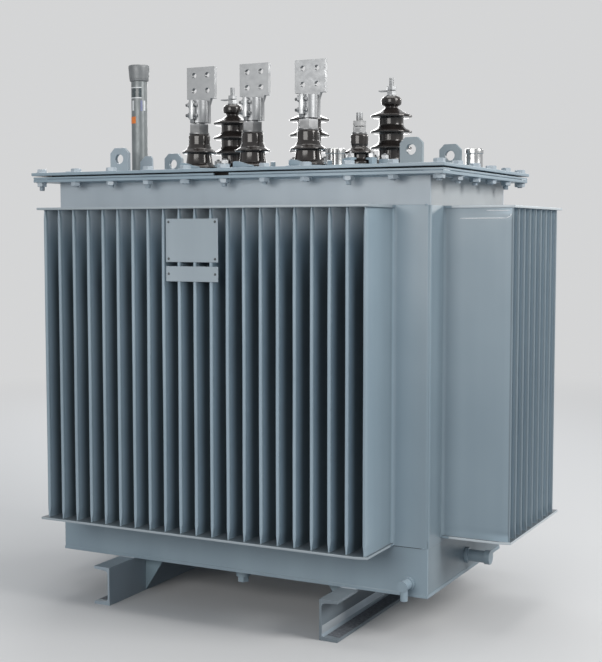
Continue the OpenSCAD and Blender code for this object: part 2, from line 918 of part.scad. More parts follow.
module tap_changer_cap() translate([tap_x, 0, 0]) round_cap(tap_d, tap_h);

module relief_valve() translate([tank_w / 2 - relief_end, hv_row, 0]) round_cap(relief_d, relief_h);

// Valve on the right end's lower band: flange, neck and screw cap
module drain_valve() {
    color(paint)
        translate([tank_w / 2, 0, tank_z + drain_z])
            rotate([0, 90, 0]) {
                cylinder(d = drain_flange_d, h = drain_flange_h);
                cylinder(d = drain_d, h = drain_l - drain_cap_h);
                translate([0, 0, drain_l - drain_cap_h]) cylinder(d = drain_cap_d, h = drain_cap_h);
            }
}

// Valve on the front lower band: boss, body and a hanging outlet
module sampling_valve() {
    color(paint)
        translate([tank_w / 2 - sample_end, -tank_d / 2, tank_z + sample_z]) {
            rotate([90, 0, 0]) {
                cylinder(d = sample_boss_d, h = sample_boss_h);
                cylinder(d = sample_body_d, h = sample_body_l);
            }
            translate([0, -sample_reach, -sample_outlet_l])
                cylinder(d = sample_outlet_d, h = sample_outlet_l);
        }
}

// Boss and hex plug under the base plate
module base_drain_plug() {
    boss_h = plug_h * plug_boss_share;
    color(paint)
        translate([0, plug_inset - tank_d / 2, base_z]) {
            translate([0, 0, -boss_h]) cylinder(d = plug_boss_d, h = boss_h);
            translate([0, 0, -plug_h]) hex(plug_af, plug_h - boss_h);
        }
}

// A bare plate on the front fins' outer edges, its top at the level z
module front_plate(z, h) {
    color(paint)
        translate([-rating_shift, -tank_d / 2 - sheet_t - long_fin_depth - plate_t / 2, z - h])
            centred_box(rating_w, plate_t, h);
}

module rating_plate() front_plate(panel_top_z - rating_drop, rating_h);

module lower_plate() front_plate(panel_top_z - rating_drop - rating_h - plate_space, lower_plate_h);

base_plate();
lower_long_bands();
lower_end_bands();
upper_long_bands();
upper_end_bands();
front_fin_panel();
back_fin_panel();
left_fin_panel();
right_fin_panel();
tank_flange();
cover_gasket();
cover_plate();
left_skid();
right_skid();
left_skid_gussets();
right_skid_gussets();
front_left_lug();
front_right_lug();
back_left_lug();
back_right_lug();
lv_bushing_a();
lv_bushing_b();
lv_bushing_c();
lv_terminal_a();
lv_terminal_b();
lv_terminal_c();
neutral_bushing();
neutral_stud();
hv_bushing_a();
hv_bushing_b();
hv_bushing_c();
hv_stud_a();
hv_stud_b();
hv_stud_c();
gauge_base();
gauge_tube();
gauge_cap();
gauge_bracket();
tap_changer_cap();
relief_valve();
drain_valve();
sampling_valve();
base_drain_plug();
rating_plate();
lower_plate();
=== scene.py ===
"""Looks of an oil-filled distribution transformer with corrugated fin walls.

Everything is in metres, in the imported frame: +Z up, X along the long side, the low-voltage side towards -Y.
"""
import math

import bmesh
import bpy
from mathutils import Matrix, Vector, noise


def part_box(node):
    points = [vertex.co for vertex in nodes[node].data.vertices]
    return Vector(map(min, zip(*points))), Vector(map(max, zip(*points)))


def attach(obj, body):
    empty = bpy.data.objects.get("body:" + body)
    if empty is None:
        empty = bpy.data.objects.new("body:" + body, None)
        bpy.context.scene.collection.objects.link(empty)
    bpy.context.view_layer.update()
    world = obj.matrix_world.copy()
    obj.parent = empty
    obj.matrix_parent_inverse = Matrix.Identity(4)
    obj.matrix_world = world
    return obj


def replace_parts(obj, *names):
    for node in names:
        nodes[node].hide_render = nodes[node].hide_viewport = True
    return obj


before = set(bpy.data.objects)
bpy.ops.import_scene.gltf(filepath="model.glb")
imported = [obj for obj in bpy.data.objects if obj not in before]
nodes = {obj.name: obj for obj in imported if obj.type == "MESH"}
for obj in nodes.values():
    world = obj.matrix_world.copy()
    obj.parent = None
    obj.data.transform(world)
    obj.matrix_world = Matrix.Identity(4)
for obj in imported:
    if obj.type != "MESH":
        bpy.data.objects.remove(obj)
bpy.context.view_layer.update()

scene = bpy.context.scene
MM = 0.001

# Camera, from the photograph's viewing angle
CAMERA_AT = (1.5924, -2.9987, 0.9613)
CAMERA_PITCH_DOWN = 4.41
CAMERA_YAW = 27.1
SENSOR_H = 36
IMAGE_H = 662
FOCAL_PX = 1254.4

# Sizes of the corrugated walls
FIN_PITCH = 45 * MM
FIN_HALF = 5 * MM
FIN_FLAT_HALF = 2 * MM
ROOT_FLAT_HALF = 4.3 * MM
LONG_FINS = 21
END_FINS = 9
LONG_FIN_SHIFT = 14 * MM
SHEET_T = 2 * MM
LONG_LIP = 10 * MM
END_LIP = 3 * MM
SIDE_LIP = 5 * MM
LONG_FAR_LIP = 12 * MM
END_FAR_LIP = 34 * MM
CUT_LONG = 28 * MM
CUT_SHORT = 8 * MM
END_RISE = 10 * MM
EDGE_T = 6 * MM
PINCH_H = 17 * MM
SWELL_H = 20 * MM
TIP_RISE = 7 * MM
ROOT_FILLET = 9 * MM
TANK_CORNER_R = 9 * MM

# Cover bolts
BOLT_AF = 24 * MM
BOLT_D = 14 * MM
BOLT_HEAD_H = 8 * MM
BOLT_NUT_H = 9 * MM
WASHER_D = 29 * MM
WASHER_T = 2 * MM
LONG_BOLTS = 11
END_BOLTS = 6
BOLT_INSET = 20 * MM
BOLT_THREAD_PITCH = 1.5 * MM
BOLT_END_SHORT = 2.2 * MM
BOLT_END_SPREAD = 9 * MM
COVER_T = 8 * MM

# Places on the long walls where their painted light and shade change, from the middle of the tank or the ground
LONG_SHEET_Y = 0.272
LONG_SHEET_SHADE_Y = (0.276, 0.284)
LONG_INSIDE_Y = (0.20, 0.36)
LONG_FLANK_Y = (0.285, 0.408)
LONG_STRIP_Y = (0.381, 0.410)
LONG_TIP_Y = (0.413, 0.420)
LONG_UPPER_Z = (0.82, 1.00)
LONG_TOP_Z = (0.93, 1.02)
LONG_EDGE_Z = 0.226
LONG_DIM_X = (-0.5, 0.0)
LONG_TOP_X = (-1.3, 0.45)
LONG_MARGIN_X = (0.452, 0.53)
FIRST_FIN_X = (-0.471, -0.468)
LAST_FIN_X = (0.437, 0.434)
# Painted light on the tops of the fins' flanks
FIN_TOP_PAINTED_LIGHT = (0.78, 0.84, 0.88)

# The same on the end walls, and on both kinds' edge plates: where their painted highlights and painted shade lie
END_SHEET_X = 0.534
END_SHEET_SHADE_X = (0.5335, 0.538)
END_ROOT_X = (0.538, 0.56)
END_TIP_X = (0.698, 0.702)
END_BETWEEN_Y = (0.1845, 0.183)
END_EDGE_Z = 0.236
EDGE_TOP_Z = (1.0226, 1.023)
EDGE_PAINTED_SHADE = (0.075, 0.095, 0.110)


# Materials

def feed(value, socket):
    """Gives a socket another socket's output, a number, a vector or a colour."""
    if isinstance(value, bpy.types.NodeSocket):
        socket.id_data.links.new(value, socket)
    elif socket.type == "RGBA":
        socket.default_value = (*value, 1)
    else:
        socket.default_value = value


def feed_all(node, inputs):
    """Feeds a node's inputs, given by name or number."""
    for key, value in inputs.items():
        feed(value, node.inputs[key])
    return node


def new_node(kind, values):
    """A new node in the tree of the sockets among some values."""
    tree = next(value.id_data for value in values if isinstance(value, bpy.types.NodeSocket))
    return tree.nodes.new(kind)


def add_node(kind, inputs):
    """A new node with fed inputs, at least one of them by a socket."""
    return feed_all(new_node(kind, inputs.values()), inputs)


def add_math(operation, *values):
    """One step of arithmetic on numbers or sockets."""
    step = add_node("ShaderNodeMath", dict(enumerate(values)))
    step.operation = operation
    return step.outputs[0]


def product(first, *others):
    """All the factors multiplied."""
    for other in others:
        first = add_math("MULTIPLY", first, other)
    return first


def add_span(value, start, end, low=0, high=1, shape="LINEAR"):
    """A value's range from start to end moved to the range from low to high."""
    inputs = {"Value": value, "From Min": start, "From Max": end, "To Min": low, "To Max": high}
    span = add_node("ShaderNodeMapRange", inputs)
    span.interpolation_type = shape
    return span.outputs["Result"]


def new_material(name):
    """A material with a Principled shader, and the object coordinates that its patterns follow."""
    material = bpy.data.materials.new(name)
    material.use_nodes = True
    nodes_of = material.node_tree.nodes
    return material, nodes_of["Principled BSDF"], nodes_of.new("ShaderNodeTexCoord").outputs["Object"]


def add_noise(place, scale, detail, stretch=(1, 1, 1)):
    """Noise of a scale in cycles per metre, drawn out along an axis by stretch."""
    mapping = add_node("ShaderNodeMapping", {"Vector": place, "Scale": stretch})
    inputs = {"Vector": mapping.outputs["Vector"], "Scale": scale, "Detail": detail}
    return add_node("ShaderNodeTexNoise", inputs).outputs["Fac"]


def add_ramp(factor, stops):
    """A colour ramp through (place, colour) stops."""
    ramp = add_node("ShaderNodeValToRGB", {"Fac": factor})
    points = ramp.color_ramp.elements
    for index, (at, colour) in enumerate(stops):
        point = points[index] if index < 2 else points.new(at)
        point.position = at
        point.color = (*colour, 1)
    return ramp.outputs["Color"]


def noise_range(place, scale, detail, low, high):
    """Noise moved from 0.3 to 0.7, where it mostly lies, to low and high."""
    return add_span(add_noise(place, scale, detail), 0.3, 0.7, low, high)


def add_mix(factor, first, second, blend="MIX"):
    """Two colours mixed; the factor, and either colour, may be fixed or a socket."""
    mix = new_node("ShaderNodeMix", (factor, first, second))
    mix.data_type = "RGBA"
    mix.blend_type = blend
    return feed_all(mix, {0: factor, 6: first, 7: second}).outputs[2]


def add_bump(height, strength, distance, normal=None):
    """Relief of a pattern, laid over another relief if one is given."""
    bump = add_node("ShaderNodeBump", {"Strength": strength, "Distance": distance, "Height": height})
    if normal is not None:
        feed(normal, bump.inputs["Normal"])
    return bump.outputs["Normal"]


def upward(place):
    """How far a surface faces up, from 0 on a wall to 1 on a level top."""
    normal = place.id_data.nodes.new("ShaderNodeNewGeometry").outputs["Normal"]
    split = add_node("ShaderNodeSeparateXYZ", {"Vector": normal})
    return add_span(split.outputs["Z"], 0.5, 1)


def place_share(place, axis, low, high, signed=False):
    """0 at low and 1 at high along an axis, with a soft rise between; both sides of the middle, unless signed."""
    at = add_node("ShaderNodeSeparateXYZ", {"Vector": place}).outputs[axis]
    if not signed:
        at = add_math("ABSOLUTE", at)
    return add_span(at, low, high, shape="SMOOTHSTEP")


def shaded(colour, factor, low, high):
    """A colour times a share that goes from low to high with a factor."""
    return add_mix(1.0, colour, add_mix(factor, (low,) * 3, (high,) * 3), "MULTIPLY")


def long_wall_painted_light_and_shade(place, colour):
    """Long wall paint: painted shade deep between fins, painted light at tips and tops, light and shade on margins.
    """
    def share(axis, ends, signed=False):
        return place_share(place, axis, *ends, signed)

    deep = share("Y", LONG_FLANK_Y)
    lower = shaded(colour, share("Y", LONG_STRIP_Y), 0.52, 1.80)
    upper = shaded(colour, deep, 0.40, 1.65)
    inner = add_mix(share("Z", LONG_UPPER_Z), lower, upper)
    inner = shaded(inner, share("X", LONG_DIM_X, True), 0.84, 1.0)
    inner = shaded(inner, share("Y", LONG_TIP_Y), 1.0, 0.68)
    tops = product(share("Y", LONG_INSIDE_Y), share("Y", reversed(LONG_TIP_Y)), share("Z", LONG_TOP_Z),
                   share("X", LONG_TOP_X, True))
    inner = add_mix(tops, inner, FIN_TOP_PAINTED_LIGHT)
    margin = shaded(colour, share("X", LONG_MARGIN_X), 1.15, 0.90)
    outer = add_mix(share("Y", LONG_SHEET_SHADE_Y), margin, shaded(colour, deep, 0.78, 1.03))
    between = product(share("X", LAST_FIN_X, True), share("X", FIRST_FIN_X, True))
    return add_mix(between, outer, inner)


def end_wall_painted_light_and_shade(place, colour):
    """An end wall's paint: painted shade on the sheet and the tips, painted light between the fins."""
    colour = shaded(colour, place_share(place, "X", *END_SHEET_SHADE_X), 0.80, 0.94)
    between = product(place_share(place, "Y", *END_BETWEEN_Y), place_share(place, "X", *END_ROOT_X))
    colour = shaded(colour, between, 1.0, 1.4)
    return shaded(colour, place_share(place, "X", *END_TIP_X), 1.0, 0.52)


def edge_painted_highlight_and_shade(place, colour, axis, sheet, level, edge_highlight):
    """Edge plates: a painted highlight along their edges, and painted shade on the lower plate's top."""
    flat = upward(place)
    outside = product(place_share(place, axis, sheet + 20 * MM, sheet + 21 * MM), add_math("SUBTRACT", 1, flat))
    for ends in ((level + 0.4 * MM, level), EDGE_TOP_Z):
        colour = add_mix(product(outside, place_share(place, "Z", *ends)), colour, edge_highlight)
    low = product(flat, place_share(place, "Z", level + 4 * MM, level + 3 * MM))
    return add_mix(low, colour, EDGE_PAINTED_SHADE)


TANK_DUST, SKID_DUST = (0.38, 0.41, 0.43), (0.28, 0.29, 0.30)


def paint_material(name, dark, light, dust_amount, rough, dust=TANK_DUST, wall=None, along=None):
    """Satin paint sprayed on steel sheet: slow drifts of tone, faint runs, orange peel and dust on level tops.

    A wall is given as the painted light and shade of its fins, and the measures and highlight colour of its edge
    plates.
    A drift of painted light along an axis is given as that axis, two places on it and the share of the colour at
    each.
    """
    material, shader, place = new_material(name)
    colour = add_ramp(add_noise(place, 2.6, 3), [(0.32, dark), (0.68, light)])
    runs = add_noise(place, 14, 2, (1, 1, 0.06))
    shade = add_ramp(runs, [(0.35, (0.93, 0.935, 0.94)), (0.65, (1, 1, 1))])
    colour = add_mix(1.0, colour, shade, "MULTIPLY")
    if wall is not None:
        fin_painted_light_and_shade, *plates = wall
        colour = edge_painted_highlight_and_shade(place, fin_painted_light_and_shade(place, colour), *plates)
    # Painted light: a drift along an axis makes a part lighter where it lies deeper in shade
    if along is not None:
        axis, first, last, low, high = along
        colour = shaded(colour, place_share(place, axis, first, last), low, high)
    spots = noise_range(place, 23, 6, 0.2 * dust_amount, dust_amount)
    colour = add_mix(product(upward(place), spots), colour, dust)
    roughness = noise_range(place, 8, 5, rough - 0.05, rough + 0.07)
    wave = add_bump(add_noise(place, 7, 1), 0.12, 10 * MM)
    peel = add_bump(add_noise(place, 330, 2), 0.16, 0.5 * MM, wave)
    feed_all(shader, {"Base Color": colour, "Roughness": roughness, "Normal": peel, "Coat Weight": 0.10,
                      "Coat Roughness": 0.22})
    return material


def porcelain_material():
    """Glazed porcelain, a brown so deep that it is nearly black, with a slightly uneven glaze."""
    material, shader, place = new_material("porcelain_glaze")
    colour = add_ramp(add_noise(place, 34, 4), [(0.34, (0.012, 0.0105, 0.010)), (0.72, (0.026, 0.0215, 0.020))])
    roughness = noise_range(place, 60, 3, 0.10, 0.20)
    ripple = add_bump(add_noise(place, 75, 2), 0.10, 1.2 * MM)
    feed_all(shader, {"Base Color": colour, "Roughness": roughness, "Normal": ripple, "Coat Weight": 0.2,
                      "Specular IOR Level": 0.4, "Coat Roughness": 0.06})
    return material


def metal_material(name, dark, light, rough, grain_stretch, grain_strength, metallic=1.0, painted_light_fade=None):
    """Bare or plated metal with a drawn grain and cloudy tarnish.

    A painted light fade is a lower level, an upper level and the lighter colour that the metal turns to between
    them.
    """
    material, shader, place = new_material(name)
    colour = add_ramp(add_noise(place, 42, 4), [(0.33, dark), (0.67, light)])
    if painted_light_fade is not None:
        colour = add_mix(place_share(place, "Z", *painted_light_fade[:2]), colour, painted_light_fade[2])
    roughness = noise_range(place, 70, 4, rough - 0.06, rough + 0.09)
    grain = add_bump(add_noise(place, 420, 3, grain_stretch), grain_strength, 0.3 * MM)
    feed_all(shader, {"Base Color": colour, "Roughness": roughness, "Normal": grain, "Metallic": metallic})
    return material


def plain_material(name, dark, light, rough, grain=500):
    """Rubber, plastic or sealant: a fine mottle and a grain."""
    material, shader, place = new_material(name)
    colour = add_ramp(add_noise(place, 180, 4), [(0.35, dark), (0.7, light)])
    roughness = noise_range(place, 90, 3, rough - 0.08, rough + 0.08)
    relief = add_bump(add_noise(place, grain, 3), 0.2, 0.4 * MM)
    feed_all(shader, {"Base Color": colour, "Roughness": roughness, "Normal": relief})
    return material


TANK_TONES = (0.221, 0.292, 0.343), (0.257, 0.332, 0.384)
TANK_PAINT = paint_material("tank_paint_blue_grey", *TANK_TONES, 0.25, 0.38)
# Fin walls: painted light and shade of the fins, and the colour of the painted highlight on their edge plates
LONG_PAINT_WITH_PAINTED_LIGHT = paint_material("long_wall_paint_with_painted_light", *TANK_TONES, 0.1, 0.38,
                            wall=(long_wall_painted_light_and_shade, "Y", LONG_SHEET_Y, LONG_EDGE_Z, (0.31, 0.36, 0.39)))
END_PAINT_WITH_PAINTED_LIGHT = paint_material("end_wall_paint_with_painted_light", *TANK_TONES, 0.1, 0.38,
                           wall=(end_wall_painted_light_and_shade, "X", END_SHEET_X, END_EDGE_Z, (0.45, 0.50, 0.53)))
# Painted light on the upper end bands and painted shade on the lower ones: lighter and darker copies of the tank
# paint
TOP_END_PAINTED_LIGHT = paint_material("upper_end_painted_light", (0.322, 0.350, 0.366), (0.366, 0.392, 0.407), 0.25, 0.40)
LOW_END_PAINTED_SHADE = paint_material("lower_end_painted_shade", (0.160, 0.210, 0.245), (0.186, 0.240, 0.275), 0.25, 0.42)
# Painted shade: a darker copy of the tank paint on the right lugs
LUG_PAINTED_SHADE = paint_material("lug_painted_shade", (0.170, 0.218, 0.246), (0.198, 0.248, 0.278), 0.2, 0.40)
# Painted light: a lighter copy of the tank paint on the upper long bands, the gauge's bracket and the cover bolts
BAND_PAINTED_LIGHT = paint_material("tank_paint_upper_painted_light", (0.332, 0.388, 0.432), (0.378, 0.434, 0.480), 0.25, 0.40)
PLATE_PAINT = paint_material("plate_paint", (0.295, 0.355, 0.396), (0.330, 0.390, 0.432), 0.1, 0.36)
SKID_PAINT = paint_material("skid_paint_dull", (0.255, 0.314, 0.360), (0.308, 0.368, 0.416), 0.2, 0.44, SKID_DUST)
# Painted shade: a darker copy of the skid paint on the right skid, for the base's shadow on its web
SKID_SHADE = paint_material("skid_painted_shade", (0.145, 0.179, 0.205), (0.176, 0.210, 0.237), 0.2, 0.44, SKID_DUST)
SKID_GUSSET_PAINT = paint_material("skid_gussets_and_web_painted_light", (0.195, 0.270, 0.315), (0.235, 0.315, 0.360), 0.2, 0.48, SKID_DUST)
# Painted light: a lit band on the skids' webs, lighter the deeper it lies under the base's shadow
SKID_WEB_PAINTED_LIGHT = paint_material("skid_web_painted_light", (0.37, 0.41, 0.44), (0.44, 0.48, 0.51), 0.2, 0.48, SKID_DUST,
                           along=("Y", 0.36, 0.12, 0.85, 1.9))
# A dark strip on the tops of the skids' lower flanges
SKID_FLANGE_DARK = plain_material("skid_flange_dark", (0.066, 0.074, 0.088), (0.150, 0.163, 0.182), 0.8)
SEAM_PAINTED_SHADOW = plain_material("seam_shadow", (0.020, 0.026, 0.030), (0.040, 0.050, 0.058), 0.7)
PORCELAIN = porcelain_material()
# Painted light and shade: tinned metal above about 1.25 m is lighter than the tinned metal below
TINNED = metal_material("tinned_copper", (0.145, 0.150, 0.155), (0.205, 0.210, 0.215), 0.45, (1, 1, 0.1), 0.10, 1.0,
                        (1.242, 1.252, (0.275, 0.285, 0.295)))
ZINC = metal_material("zinc_plate", (0.33, 0.345, 0.355), (0.45, 0.46, 0.47), 0.36, (1, 1, 1), 0.08)
BRIGHT = metal_material("bright_nickel", (0.42, 0.43, 0.44), (0.55, 0.56, 0.56), 0.20, (1, 1, 0.05), 0.06)
SLEEVE = metal_material("gauge_sleeve", (0.160, 0.178, 0.183), (0.192, 0.210, 0.215), 0.42, (1, 1, 0.03), 0.06,
                        0.35)
CAP = metal_material("gauge_cap_grey", (0.168, 0.178, 0.185), (0.200, 0.210, 0.217), 0.46, (1, 1, 0.2), 0.06, 0.25)
RUBBER = plain_material("gasket_rubber_black", (0.010, 0.010, 0.011), (0.030, 0.029, 0.028), 0.75)
WINDOW = plain_material("gauge_window", (0.040, 0.056, 0.062), (0.075, 0.096, 0.104), 0.22, 90)
CREASE = plain_material("crease_highlight", (0.78, 0.81, 0.83), (0.86, 0.88, 0.89), 0.35)
RIVET = plain_material("rivet_dark", (0.045, 0.052, 0.058), (0.085, 0.095, 0.102), 0.5)
MARK_WHITE = plain_material("gauge_white", (0.62, 0.64, 0.65), (0.74, 0.76, 0.77), 0.45)
MARK_BLUE = plain_material("gauge_blue", (0.150, 0.170, 0.290), (0.190, 0.210, 0.340), 0.4)
MARK_ORANGE = plain_material("gauge_orange", (0.66, 0.155, 0.020), (0.80, 0.240, 0.040), 0.4)

MATERIAL_OF_SLOT = {
    "tank_paint": TANK_PAINT,
    "skid_paint": SKID_PAINT,
    "gasket_rubber": RUBBER,
    "porcelain": PORCELAIN,
    "tinned_metal": TINNED,
    "bright_metal": BRIGHT,
    "gauge_plastic": SLEEVE,
}


# Carried-over CAD nodes: soft edges and finishes

def clean_group():
    """Joins a CAD mesh's split corners and shades it smooth, so that its edges can be rounded."""
    group = bpy.data.node_groups.new("clean_solid", "GeometryNodeTree")
    group.interface.new_socket("Geometry", in_out="INPUT", socket_type="NodeSocketGeometry")
    group.interface.new_socket("Geometry", in_out="OUTPUT", socket_type="NodeSocketGeometry")
    start = group.nodes.new("NodeGroupInput")
    merge = group.nodes.new("GeometryNodeMergeByDistance")
    merge.inputs["Distance"].default_value = 0.005 * MM
    forget = group.nodes.new("GeometryNodeRemoveAttribute")
    forget.inputs["Name"].default_value = "custom_normal"
    smooth = group.nodes.new("GeometryNodeSetShadeSmooth")
    end = group.nodes.new("NodeGroupOutput")
    chain = [start, merge, forget, smooth, end]
    for before, after in zip(chain, chain[1:]):
        group.links.new(before.outputs[0], after.inputs[0])
    return group


CLEAN_GROUP = clean_group()


def soften(obj, width):
    """Rounds the edges of a CAD node by modifiers alone."""
    clean = obj.modifiers.new("clean", "NODES")
    clean.node_group = CLEAN_GROUP
    flat = obj.modifiers.new("flat", "DECIMATE")
    flat.decimate_type = "DISSOLVE"
    flat.angle_limit = math.radians(0.4)
    bevel = obj.modifiers.new("edges", "BEVEL")
    bevel.width = width
    bevel.segments = 2
    bevel.limit_method = "ANGLE"
    bevel.angle_limit = math.radians(30)
    bevel.harden_normals = True


EDGE_WIDTHS = {"cover_plate": 1.5 * MM, "tank_flange": 1.2 * MM, "left_skid": 1.8 * MM, "right_skid": 1.8 * MM}
DEFAULT_EDGE_WIDTH = 1.0 * MM

MATERIAL_OF_NODE = {
    "rating_plate": PLATE_PAINT, "lower_plate": PLATE_PAINT, "gauge_bracket": BAND_PAINTED_LIGHT,
    "upper_long_bands": BAND_PAINTED_LIGHT, "upper_end_bands": TOP_END_PAINTED_LIGHT, "lower_end_bands": LOW_END_PAINTED_SHADE,
    # Lugs: painted shade on the right ones, and the lighter plate paint on the left ones as painted light
    "front_right_lug": LUG_PAINTED_SHADE, "back_right_lug": LUG_PAINTED_SHADE,
    "front_left_lug": PLATE_PAINT, "back_left_lug": PLATE_PAINT,
    "right_skid": SKID_SHADE, "left_skid_gussets": SKID_GUSSET_PAINT, "right_skid_gussets": SKID_GUSSET_PAINT,
}

for node_name, node_object in nodes.items():
    packed_slot = node_object.data.materials[0].name
    node_object.data.materials[0] = MATERIAL_OF_NODE.get(node_name, MATERIAL_OF_SLOT[packed_slot])
    soften(node_object, EDGE_WIDTHS.get(node_name, DEFAULT_EDGE_WIDTH))


# Mesh tools

# The turn that stands a plan upright, its Z axis towards the front
STAND = Matrix.Rotation(math.pi / 2, 4, "X")


def finish_piece(name, bm, material):
    """Turns a bmesh into a piece that rides on the transformer's only body."""
    bmesh.ops.recalc_face_normals(bm, faces=bm.faces)
    mesh = bpy.data.meshes.new(name)
    bm.to_mesh(mesh)
    bm.free()
    mesh.shade_smooth()
    mesh.set_sharp_from_angle(angle=math.radians(38))
    mesh.materials.append(material)
    piece = bpy.data.objects.new(name, mesh)
    scene.collection.objects.link(piece)
    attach(piece, "root")
    return piece


def add_rings(bm, rings):
    """Skins a stack of equal rings of points, and closes both ends."""
    rows = [[bm.verts.new(point) for point in ring] for ring in rings]
    count = len(rows[0])
    for low, high in zip(rows, rows[1:]):
        for i in range(count):
            j = (i + 1) % count
            bm.faces.new((low[i], low[j], high[j], high[i]))
    bm.faces.new(list(reversed(rows[0])))
    bm.faces.new(rows[-1])


def circle(radius, height, sides):
    """Points around the Z axis."""
    angles = [2 * math.pi * k / sides for k in range(sides)]
    return [Vector((radius * math.cos(a), radius * math.sin(a), height)) for a in angles]


def add_lathe(bm, place, profile, sides=32):
    """Turns a (radius, height) profile about the Z axis of place."""
    add_rings(bm, [[place @ point for point in circle(radius, height, sides)] for radius, height in profile])


def round_edges(bm, edges, width):
    """Rounds edges of a bmesh by two steps."""
    bmesh.ops.bevel(bm, geom=list(edges), offset=width, segments=2, affect="EDGES", profile=0.6)


def rounded(corners):
    """A profile through (radius, height, rounding) corners in millimetres, its corners rounded."""
    steps = 5
    profile = []
    for index, (radius, height, rounding) in enumerate(corners):
        at = Vector((radius, height))
        if rounding == 0 or index in (0, len(corners) - 1):
            profile.append(at * MM)
            continue
        back = Vector(corners[index - 1][:2]) - at
        ahead = Vector(corners[index + 1][:2]) - at
        run = rounding / math.tan(back.angle(ahead) / 2)
        start = at + back.normalized() * min(run, 0.48 * back.length)
        end = at + ahead.normalized() * min(run, 0.48 * ahead.length)
        for k in range(steps + 1):
            t = k / steps
            profile.append((start * (1 - t) ** 2 + at * 2 * t * (1 - t) + end * t ** 2) * MM)
    return profile


def axis_of(name):
    """Middle of a node in plan, and its lowest and highest levels."""
    low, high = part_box(name)
    return (low.x + high.x) / 2, (low.y + high.y) / 2, low.z, high.z


def about(x, y, z, turn=0.0):
    """A place, turned about Z."""
    return Matrix.Translation((x, y, z)) @ Matrix.Rotation(turn, 4, "Z")


def quarter(steps):
    """Angles through a quarter turn."""
    return [math.pi / 2 * k / steps for k in range(steps + 1)]


def up(height):
    """A step along a place's own Z axis."""
    return about(0, 0, height)


def add_hexagon(bm, place, flats, height):
    """A hexagon nut or head, its top corners turned off at 30 degrees."""
    sides = 36
    turned = 0.96 * flats / 2
    base, shoulder, top = [], [], []
    for k in range(sides):
        angle = 2 * math.pi * k / sides
        from_flat = (angle + math.pi / 6) % (math.pi / 3) - math.pi / 6
        radius = flats / 2 / math.cos(from_flat)
        drop = max(0.0, radius - turned) * math.tan(math.radians(30))
        along = Vector((math.cos(angle), math.sin(angle), 0))
        base.append(place @ (along * radius))
        shoulder.append(place @ (along * radius + Vector((0, 0, height - drop))))
        top.append(place @ (along * turned + Vector((0, 0, height))))
    add_rings(bm, [base, shoulder, top])


def add_washer(bm, place, diameter, thickness):
    """A round washer with broken edges."""
    edge = thickness * 0.3
    radius = diameter / 2
    add_lathe(bm, place, [(radius - edge, 0), (radius, edge), (radius, thickness - edge),
                          (radius - edge, thickness)])


def add_thread(bm, place, diameter, length, pitch):
    """A threaded rod: a helical ridge, ending in a chamfer."""
    sides = 20
    depth = 0.55 * pitch
    radius = diameter / 2
    steps = 2 * max(2, round(length / pitch))
    rings = []
    for step in range(steps + 1):
        ring = []
        for k in range(sides):
            share = k / sides
            z = min(max((step / 2 + share - 0.5) * pitch, 0), length)
            phase = (z / pitch - share) % 1.0
            r = radius - depth * (1 - abs(2 * phase - 1))
            if z > length - pitch:
                r = min(r, radius - depth * (z - length + pitch) / pitch)
            angle = 2 * math.pi * share
            ring.append(place @ Vector((r * math.cos(angle), r * math.sin(angle), z)))
        rings.append(ring)
    add_rings(bm, rings)


def add_box(bm, low, high, bevel):
    """A box between two corners, with rounded edges."""
    size = Vector(high) - Vector(low)
    middle = (Vector(high) + Vector(low)) / 2
    made = bmesh.ops.create_cube(bm, size=1, matrix=Matrix.Translation(middle) @ Matrix.Diagonal((*size, 1)))
    round_edges(bm, {edge for vert in made["verts"] for edge in vert.link_edges}, bevel)


def add_prism(bm, outline, low, high, bevel, place=Matrix.Identity(4)):
    """A plan outline drawn up from low to high, with rounded edges."""
    bottom = [bm.verts.new(place @ Vector((x, y, low))) for x, y in outline]
    top = [bm.verts.new(place @ Vector((x, y, high))) for x, y in outline]
    count = len(outline)
    faces = [bm.faces.new(list(reversed(bottom))), bm.faces.new(top)]
    for i in range(count):
        j = (i + 1) % count
        faces.append(bm.faces.new((bottom[i], bottom[j], top[j], top[i])))
    if bevel > 0:
        round_edges(bm, {edge for face in faces[:2] for edge in face.edges}, bevel)


BEAD_SIDES = 8


def add_bead(bm, start, end, radius, step=3.2 * MM):
    """A weld bead from start to end, rippled along its length and drawn down at both ends."""
    start, end = Vector(start), Vector(end)
    along = end - start
    length = along.length
    turn = along.to_track_quat("Z", "X").to_matrix().to_4x4()
    count = max(4, int(length / step) * 2)
    rings = []
    for i in range(count + 1):
        share = i / count
        ends = min(1.0, 6 * min(share, 1 - share) * length / (length + 20 * MM) + 0.35)
        ripple = (0.86 if i % 2 else 1.0) + 0.16 * noise.noise(start * 90 + along * share * 40)
        r = radius * ends * ripple
        centre = start + along * share
        rings.append([centre + turn @ point for point in circle(r, 0, BEAD_SIDES)])
    add_rings(bm, rings)


# Corrugated walls

def fin_levels(height):
    """Heights of a fin's sections, close together where its ends are pressed."""
    swell = (-0.2, 0, 0.15, 0.3, 0.45, 0.6, 0.75, 0.9, 1)
    low = [EDGE_T / 2, PINCH_H * 0.5] + [PINCH_H + share * SWELL_H for share in swell]
    span = height - 2 * low[-1]
    middle = [low[-1] + span * k / 8 for k in range(1, 8)]
    return low + middle + [height - z for z in reversed(low)]


